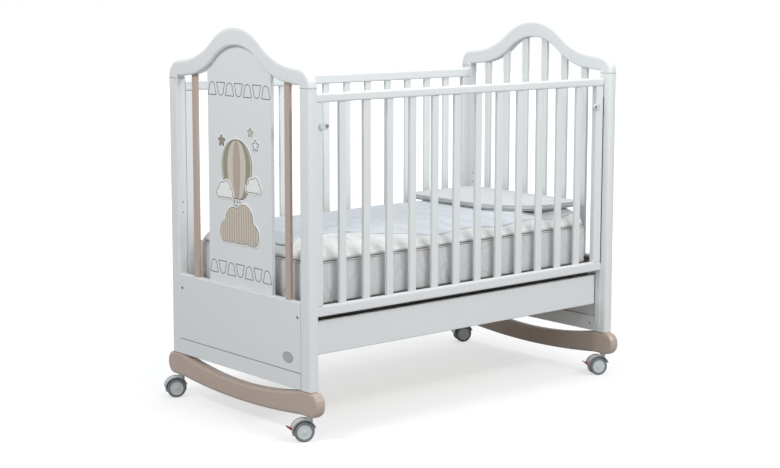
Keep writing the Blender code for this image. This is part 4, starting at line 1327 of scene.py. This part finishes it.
@dataclass
class NurseryPicture:
    """Inlaid picture and two rows of bells, as thin plates and raised lines on the centre panel."""

    shop: Workshop
    plane: Plane = field(default_factory=lambda: Plane.end((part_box("head_center_panel")[0].x, 0.0, 0.0), -1))
    line: float = 0.0024
    heavy_line: float = 0.0030
    rope_line: float = 0.0016
    border: float = 0.0062
    ease: float = 0.0002
    backing_ease: float = 0.0004
    stagger: float = 0.0001
    friezes: tuple[tuple[str, float], ...] = (("upper", 1.034), ("lower", 0.469))
    bells: int = 7
    bell: Pair = (0.044, 0.040)
    bell_pitch: float = 0.0475
    balloon: Point = (-0.012, 0.800, 0.080)
    gores: int = 7
    basket: Profile = ((-0.017, 0.646), (0.017, 0.646), (0.020, 0.676), (-0.020, 0.676))
    rope: Profile = ((0.014, 0.697), (0.015, 0.686), (0.016, 0.674))
    clouds: tuple[tuple[float, Pair], ...] = (
        (0.205, (0.000, 0.606)), (0.088, (-0.076, 0.716)), (0.078, (0.078, 0.742)))
    stars: tuple[tuple[float, Pair], ...] = (
        (0.019, (-0.092, 0.872)), (0.018, (0.088, 0.868)), (0.015, (0.062, 0.907)))
    stripe_pitch: float = 0.0125
    stripe_width: float = 0.0058

    def build(self) -> None:
        """Build the friezes and the picture."""
        self.frieze_bells()
        self.picture()

    def _show(self, name: str, finish: str, shells: Iterable[Shell]) -> None:
        """Lay shells on the panel as one piece."""
        self.shop.piece(name, finish, *(shell.laid(self.plane) for shell in shells), sharp=12.0)

    def frieze_bells(self) -> None:
        """Row of bells near the top of the panel and one near its foot, each second one inverted."""
        for word, height in self.friezes:
            bells = (bell_outline(*self.bell) * (1.0, -1.0 if index % 2 else 1.0)
                     + ((index - self.bells // 2) * self.bell_pitch, height) for index in range(self.bells))
            lines = (bead(bell, self.line, Layer.FRIEZE) for bell in bells)
            self._show(f"frieze_{word}", "line_paint", lines)

    def _seam(self, angle: float) -> Array:
        """Seam of the balloon from its mouth to its crown; its offset goes with the angle's sine.

        The lower part narrows as a cosine towards the mouth, and the upper part is a half circle.

        Args:
            angle: turn of the seam about the balloon's axis.

        Returns:
            The seam's points.
        """
        centre, middle, radius = self.balloon
        sink = np.linspace(1.0, 0.0, 26)[:-1] * QUARTER
        rise = np.linspace(0.0, 0.93, 24) * QUARTER
        widths = np.concatenate([radius * (0.24 + 0.76 * np.cos(sink) ** 0.9), radius * np.cos(rise)])
        heights = np.concatenate([middle - 1.30 * radius * np.sin(sink), middle + radius * np.sin(rise)])
        return np.stack([centre + widths * math.sin(angle), heights], axis=1)

    def picture(self) -> None:
        """Striped balloon over a striped bank of cloud, between two plain clouds and three stars."""
        centre = self.balloon[0]
        seams = [self._seam(angle) for angle in np.radians(np.linspace(-90.0, 90.0, self.gores + 1))]
        gores = [ribbon(left, right, Layer.GORE, self.ease) for left, right in zip(seams, seams[1:])]
        basket = np.array(self.basket) + (centre, 0.0)
        clouds = [cloud_outline(width) + place for width, place in self.clouds]
        stars = [star_outline(radius) + place for radius, place in self.stars]
        behind = [np.concatenate([seams[-1], seams[0][::-1]]), *stars]
        backing = [plate(grown(loop, self.border), layer + self.stagger * index, self.backing_ease)
                   for layer, loops in ((Layer.FAR_BACKING, behind + [basket]), (Layer.NEAR_BACKING, clouds))
                   for index, loop in enumerate(loops)]
        self._show("picture_backing", "picture_white", backing)
        west, north = (plate(stars[index], Layer.STAR, self.ease) for index in (0, 2))
        basket_plate = plate(basket, Layer.BASKET, self.ease)
        self._show("picture_olive", "olive_paint", [gores[1], gores[5], west, basket_plate])
        self._show("picture_taupe", "taupe_upright", [gores[3], *self._stripes(clouds[0])])
        bank = plate(clouds[0], Layer.BANK, self.ease)
        self._show("picture_cream", "cream_paint", [*gores[::2], north, bank])
        lines = [bead(loop, self.heavy_line, Layer.FAR_LINE) for loop in behind]
        lines += [bead(loop, self.heavy_line, Layer.NEAR_LINE) for loop in clouds]
        lines += [bead(seam, self.line * 0.5, Layer.SEAM, closed=False) for seam in seams[1:-1]]
        lines += [bead(np.array(self.rope) * (side, 1.0) + (centre, 0.0), self.rope_line, Layer.SEAM,
                       closed=False) for side in (-1, 0, 1)]
        self._show("picture_lines", "line_paint", lines)

    def _stripes(self, cloud: Array) -> list[Shell]:
        """Upright stripes inside a cloud, each cut along the cloud's upper edge.

        Args:
            cloud: outline of the cloud.

        Returns:
            The stripes.
        """
        upper = cloud[:len(cloud) // 2 + 1]
        order = np.argsort(upper[:, 0])
        base = cloud[:, 1].min() + 0.003
        stripes = []
        for left in np.arange(cloud[:, 0].min() + 0.012, cloud[:, 0].max() - 0.014, self.stripe_pitch):
            across = np.linspace(left, left + self.stripe_width, 4)
            top = np.interp(across, upper[order, 0], upper[order, 1]) - 0.0035
            lower = np.stack([across, np.full(4, base)], axis=1)
            stripes.append(ribbon(np.stack([across, top], axis=1), lower, Layer.STRIPE, self.ease))
        return stripes


# Fittings


def stud(face: float, foot: float, height: float, plane: Plane, steps: int) -> Shell:
    """Round stud with a flat face of one radius and a foot of another."""
    return turned(((0.0, height), (face, height), (foot, 0.0), (0.0, 0.0)), plane, steps)


@dataclass
class EndFixings:
    """Bolt heads, sockets, track stop, catch ring and dark joint lines, partly painted shade, of one end of
    the crib.
    """

    shop: Workshop
    end: End
    panel: str
    bolt: Profile = ((0.0, 0.0003), (0.00312, 0.0003), (0.003328, 0.0012), (0.004264, 0.0013),
                     (0.0052, 0.0005), (0.0052, 0.0), (0.0, 0.0))
    bolt_socket: Point = (0.003016, 0.00312, 0.0006)
    bolt_place: Pair = (0.310, 0.373)
    rail_bolt: Profile = ((0.0, 0.0012), (0.0024, 0.0012), (0.0029, 0.0005), (0.0029, 0.0), (0.0, 0.0))
    rail_collar: Point = (0.0046, 0.0052, 0.0006)
    rail_bolt_place: Pair = (0.298, 0.177)
    pin_socket: Point = (0.0019, 0.0022, 0.0003)
    pin_heights: Pair = (0.6188, 0.6525)
    stop: Profile = ((0.0, 0.0019), (0.0022, 0.0018), (0.0034, 0.0010), (0.0037, 0.0), (0.0, 0.0))
    stop_height: float = 0.3145
    stop_sunk: float = 0.0006
    catch_clear: float = 0.0017
    catch_tube: Pair = (0.0011, 0.0007)
    joint_line: Point = (0.0022, 0.00022, -0.0008)
    joint_tube: float = 0.0007
    joint_inset: float = 0.0003
    outer_round: float = 0.012
    inner_round: float = 0.006

    def build(self) -> None:
        """Build every fixing of the end."""
        for part in (self.panel_bolts, self.rail_bolts, self.pin_sockets, self.track_stop, self.catch_ring,
                     self.joint_lines):
            part()

    def _add(self, name: str, finish: str, *shells: Shell, **how: Any) -> None:
        """Make a piece with this end in its name."""
        self.shop.piece(f"{name}_{self.end.word}", finish, *shells, **how)

    def _plane(self, node: str, y: float, z: float, inner: bool = False) -> Plane:
        """Plane that faces outwards from the outer face of a node, or inwards from its inner face."""
        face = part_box(node)[(self.end is End.FOOT) != inner].x
        return Plane.end((face, y, z), self.end.value * (-1 if inner else 1))

    def panel_bolts(self) -> None:
        """Two bolt heads with dark sockets on the outer face of the lower panel."""
        across, height = self.bolt_place
        planes = [self._plane(self.panel, side.value * across, height) for side in Side]
        self._add("panel_bolts", "steel", *(turned(self.bolt, plane, 28) for plane in planes))
        sockets = (stud(*self.bolt_socket, plane, 24) for plane in planes)
        self._add("panel_bolt_sockets", "dark_plastic", *sockets)

    def rail_bolts(self) -> None:
        """Dark bolt heads in pale collars on the inner face of the bottom rail, beside the posts."""
        across, height = self.rail_bolt_place
        rail = f"{self.end.word}_bottom_rail"
        planes = [self._plane(rail, side.value * across, height, inner=True) for side in Side]
        collars = (stud(*self.rail_collar, plane, 28) for plane in planes)
        self._add("rail_bolt_collars", "pale_plastic", *collars)
        self._add("rail_bolts", "dark_plastic", *(turned(self.rail_bolt, plane, 20) for plane in planes))

    def pin_sockets(self) -> None:
        """Two small dark sockets on the inner edge of the rear post."""
        low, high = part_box(f"{self.end.word}_post_rear")
        planes = (Plane.front(((low.x + high.x) / 2, low.y, height)) for height in self.pin_heights)
        self._add("pin_sockets", "dark_plastic", *(stud(*self.pin_socket, plane, 18) for plane in planes))

    def track_stop(self) -> None:
        """Round stop in the slot of the guide track, below the drop side."""
        low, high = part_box(f"guide_track_{self.end.word}")
        foot = (high.x if self.end is End.FOOT else low.x) - self.end.value * self.stop_sunk
        plane = Plane.end((foot, (low.y + high.y) / 2 + 0.0001, self.stop_height), -self.end.value)
        self._add("track_stop", "pale_plastic", turned(self.stop, plane, 28))

    def catch_ring(self) -> None:
        """Pale ring round the release button, on the catch's front face."""
        low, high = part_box(f"release_button_{self.end.word}")
        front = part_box(f"catch_housing_{self.end.word}")[0].y
        plane = Plane.front(((low.x + high.x) / 2, front, (low.z + high.z) / 2))
        ring = torus(((high.x - low.x) / 2 + self.catch_clear, 0.0), self.catch_tube, plane, (36, 10))
        self._add("catch_ring", "white_upright", ring, body="drop_side", sharp=60.0)

    def joint_lines(self) -> None:
        """Fine dark lines on the outer faces: the joints between the boards, darkened as painted shade of
        their gaps.

        One runs along the bottom rail, and one goes round each post below the arched rail.
        """
        word = self.end.word
        width, top, below = self.joint_line
        reach, foot = abs(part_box(f"{word}_post_front")[1].y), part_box(f"{word}_bottom_rail")[1].z
        line = bead(np.array([(-reach, foot), (reach, foot)]), width, top, below, closed=False)
        shells = [line.laid(self._plane(f"{word}_post_front", 0.0, 0.0))]
        for side in Side:
            low, high = room(f"{word}_post_{side.word}")
            radii = [self.outer_round if turn == side.value else self.inner_round for turn in (1, 1, -1, -1)]
            loop = rounded_loop(low + self.joint_inset, high - self.joint_inset, radii)
            shells.append(round_rope(loop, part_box(f"{word}_arch_rail")[0].z, self.joint_tube, 8))
        # grey lines: the joints, darkened as painted shade of the gaps between the boards
        self._add("joint_lines", "grey_plastic", *shells)


@dataclass
class FrameTrim:
    """Rim of the bare badge, and a near-black strip on the front of the mattress base, painted shade of the
    gap below the mattress.
    """

    shop: Workshop
    rim_inset: float = 0.0010
    rim: Pair = (0.0020, 0.0006)
    edging_inset: Pair = (0.030, 0.0005)
    edging: Pair = (0.0010, 0.0003)

    def build(self) -> None:
        """Build the rim and the strip."""
        low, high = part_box("badge_plate")
        half = ((high.y - low.y) / 2 - self.rim_inset, (high.z - low.z) / 2 - self.rim_inset)
        plane = Plane.end((low.x, (low.y + high.y) / 2, (low.z + high.z) / 2), End.HEAD.value)
        self.shop.piece("badge_rim", "steel", bead(polar(circle(56), 1.0) * half, *self.rim).laid(plane))
        # near-black strip: painted shade in the gap between the mattress and the rail below it
        low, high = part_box("mattress_base")
        reach, rise = high.x - self.edging_inset[0], (high.z - low.z) / 2 - self.edging_inset[1]
        strip = np.array([(-reach, -rise), (reach, -rise), (reach, rise), (-reach, rise)])
        plane = Plane.front((0.0, low.y, (low.z + high.z) / 2))
        self.shop.piece("base_edging", "dark_plastic", plate(strip, *self.edging).laid(plane))


@dataclass
class CasterTrim:
    """Hub caps, tyre lips and hood rims of one caster; its axle stands behind the stem."""

    shop: Workshop
    end: End
    side: Side
    heading: float = 154.5
    trail: float = 0.0205
    stem: Pair = (0.65, 0.3465)
    wheel_radius: float = 0.031
    hub_face: float = 0.0179
    hub: Profile = ((0.0, 0.0016), (0.00444, 0.0015), (0.005772, 0.0008), (0.01332, 0.0006),
                    (0.01776, 0.0009), (0.018648, 0.0006), (0.019536, 0.0012), (0.021534, 0.0015),
                    (0.0222, 0.0009), (0.0222, 0.0), (0.0, 0.0))
    lip: tuple[Pair, Pair] = ((0.0265, 0.0012), (0.0014, 0.0006))
    hood_sweep: Pair = (5.0, 161.0)
    hood_radii: Pair = (0.0335, 0.0376)
    hood_edges: tuple[Pair, Pair] = ((0.0150, 0.0198), (-0.0198, -0.0150))
    hood_ease: float = 0.0009

    def build(self) -> None:
        """Dress the caster; each hood rim is a rounded oblong section carried round the axle."""
        turn = math.radians(self.heading)
        forward = np.array([math.cos(turn), math.sin(turn), 0.0])
        axle = np.array([-math.sin(turn), math.cos(turn), 0.0])
        centre = np.array([self.end.value * self.stem[0], self.side.value * self.stem[1], self.wheel_radius])
        centre += forward * self.trail
        name = f"{self.end.word}_{self.side.word}"
        faces = [Plane(tuple(centre + out * self.hub_face), tuple(forward), tuple(np.cross(out, forward)),
                       tuple(out)) for out in (-axle, axle)]
        self.shop.piece(f"hub_caps_{name}", "pale_plastic", *(turned(self.hub, face, 64) for face in faces),
                        body=f"wheel_pair_{name}")
        self.shop.piece(f"tyre_lips_{name}", "tyre", *(torus(*self.lip, face, (64, 8)) for face in faces),
                        body=f"wheel_pair_{name}")
        plane = Plane(tuple(centre), tuple(forward), (0.0, 0.0, 1.0), tuple(axle))
        sweep = np.radians(np.linspace(*self.hood_sweep, 40))
        inner, outer = self.hood_radii
        rims = []
        for low, high in self.hood_edges:
            section = rounded_loop(np.array([low, inner]), np.array([high, outer]), (self.hood_ease,) * 4, 4)
            rims.append(Shell.of_grid(carried_round(section[:, ::-1], sweep)).laid(plane))
        self.shop.piece(f"hood_rim_{name}", "grey_plastic", *rims, body=f"swivel_{name}")


@dataclass
class Woodwork:
    """Finishes of the CAD nodes, by the first word of a table that a node's name holds."""

    palette: Palette
    nodes: dict[str, bpy.types.Object]
    plain: str = "white_upright"
    table: tuple[tuple[str, str], ...] = (
        ("rocker", "taupe_crosswise"), ("accent_slat", "taupe_upright"), ("badge", "silver_plate"),
        ("drawer_runner", "steel"), ("drawer_slide", "steel"), ("base_ledger", "steel"),
        ("drawer_front", "white_lengthwise"), ("drawer_side", "birch_crosswise"),
        ("drawer_b", "birch_lengthwise"), ("mattress_base", "birch_crosswise"),
        ("guide_track", "track"), ("release_button", "grey_plastic"), ("catch_housing", "pale_plastic"),
        ("brake_lever", "red_plastic"), ("wheels", "tyre"), ("caster", "pale_plastic"),
        ("top_rail", "white_lengthwise"), ("arch_rail", "white_crosswise"),
        ("bottom_rail", "white_crosswise"), ("mattress", "ticking"), ("duvet", "pad"), ("quilt", "quilt"),
    )

    def build(self) -> None:
        """Give every CAD node its finish, and report it."""
        for name, node in sorted(self.nodes.items()):
            finish = next((finish for word, finish in self.table if word in name), self.plain)
            self.palette.paint(node, finish)
            LOG.info("node %s: %s", name, finish)


# Studio


@dataclass(frozen=True)
class Lamp:
    """Round soft lamp, aimed at a point."""

    name: str
    place: Point
    size: float
    power: float

    def hang(self, aim: Point) -> None:
        """Hang the lamp.

        Args:
            aim: point that it faces.
        """
        lamp = bpy.data.lights.new(self.name, "AREA")
        lamp.shape = "DISK"
        lamp.size = self.size
        lamp.energy = self.power
        turn = (Vector(aim) - Vector(self.place)).to_track_quat("-Z", "Y").to_matrix().to_4x4()
        placed(self.name, lamp).matrix_world = Matrix.Translation(self.place) @ turn


@dataclass
class Studio:
    """Floor, world, lamps and camera."""

    floor_colour: float = 0.42
    floor_glow: float = 0.62
    white_from: float = 1.3
    white_by: float = 3.2
    floor_reach: float = 14.0
    floor_level: float = -0.0004
    ambient_colour: Colour = (0.93, 0.965, 1.0)
    ambient: float = 0.55
    lamps: tuple[Lamp, ...] = (
        Lamp("key", (0.9, -3.4, 3.2), 0.5, 32.0), Lamp("front", (-0.2, -2.6, 2.7), 1.6, 30.0),
        Lamp("overhead", (0.3, 0.1, 3.4), 1.8, 33.0), Lamp("left", (-2.9, -0.4, 2.8), 0.9, 40.0))
    aim: Point = (0.0, 0.0, 0.6)
    camera_place: Point = (-3.5460, -4.0952, 1.3644)
    yaw: float = 40.579
    pitch: float = -7.7486
    roll: float = 0.0924
    focal_share: float = 1621.52 / 780
    sensor: float = 36.0
    shift: float = -0.04
    far_clip: float = 60.0

    def build(self) -> None:
        """Set up the studio."""
        self.floor()
        self.world()
        for lamp in self.lamps:
            lamp.hang(self.aim)
        self.camera()

    def floor(self) -> None:
        """Level floor, pale to the lamps and white to the camera but for the shadows on it."""
        corners = [(x * self.floor_reach, y * self.floor_reach, self.floor_level)
                   for x, y in ((-1, -1), (1, -1), (1, 1), (-1, 1))]
        mesh = bpy.data.meshes.new("floor")
        mesh.from_pydata(corners, [], [[0, 1, 2, 3]])
        recipe = Recipe(bpy.data.materials.new("floor"))
        colour = (self.floor_colour,) * 3 + (1.0,)
        mesh.materials.append(recipe.surface(Base_Color=colour, Roughness=0.9, Specular_IOR_Level=0.0))
        seen = recipe.node("ShaderNodeLightPath")
        away = recipe.node("ShaderNodeVectorMath", {"operation": "LENGTH"}, {0: recipe.place()}, 1)
        strength = away.between(self.white_from, self.white_by) * (1.0 - self.floor_glow) + self.floor_glow
        glow = recipe.node("ShaderNodeEmission", sockets={
            "Color": (1.0, 1.0, 1.0, 1.0), "Strength": seen * strength})
        lit = Wire(recipe, recipe.shader.outputs[0])
        recipe.show(recipe.node("ShaderNodeAddShader", sockets={0: lit, 1: glow}))
        placed("floor", mesh)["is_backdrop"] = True

    def world(self) -> None:
        """Even pale surroundings, white behind the crib for the camera."""
        world = bpy.data.worlds.new("studio")
        bpy.context.scene.world = world
        recipe = Recipe(world)
        seen = recipe.node("ShaderNodeLightPath")
        ambient = recipe.node("ShaderNodeBackground", sockets={
            "Color": (*self.ambient_colour, 1.0), "Strength": self.ambient})
        backdrop = recipe.node("ShaderNodeBackground", sockets={"Color": (1.0, 1.0, 1.0, 1.0)})
        recipe.show(recipe.node("ShaderNodeMixShader", sockets={0: seen, 1: ambient, 2: backdrop}))

    def camera(self) -> None:
        """Camera at the photograph's place, pitched down, with a little lens shift for the framing."""
        lens = bpy.data.cameras.new("camera")
        lens.sensor_width = self.sensor
        lens.lens = self.focal_share * self.sensor
        lens.shift_y = self.shift
        lens.clip_end = self.far_clip
        item = placed("camera", lens)
        turn = (Matrix.Rotation(-math.radians(self.yaw), 4, "Z")
                @ Matrix.Rotation(math.radians(90 + self.pitch), 4, "X")
                @ Matrix.Rotation(math.radians(self.roll), 4, "Z"))
        item.matrix_world = Matrix.Translation(self.camera_place) @ turn
        bpy.context.scene.camera = item
        bpy.context.scene.view_settings.view_transform = "Standard"


def plain(bounds: Any) -> list[list[float]]:
    """Box as plain lists of numbers."""
    return [[float(value) for value in corner] for corner in bounds]


def main() -> None:
    """Load the frame, build the classes in order, and work out both boxes."""
    logging.basicConfig(level=logging.INFO, format="%(name)s: %(message)s", stream=sys.stdout)
    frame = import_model()
    packed = plain(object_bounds())
    palette = Palette()
    shop = Workshop(palette)
    Woodwork(palette, frame["nodes"]).build()
    Bedding(shop).build()
    NurseryPicture(shop).build()
    for end, panel in ((End.HEAD, "head_lower_panel"), (End.FOOT, "foot_panel_and_slats")):
        EndFixings(shop, end, panel).build()
    FrameTrim(shop).build()
    for end, side in itertools.product(End, Side):
        CasterTrim(shop, end, side).build()
    Studio().build()
    LOG.info("%d pieces", shop.count)
    {"cad": packed, "scene": plain(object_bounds())}


if __name__ == "__main__":
    main()
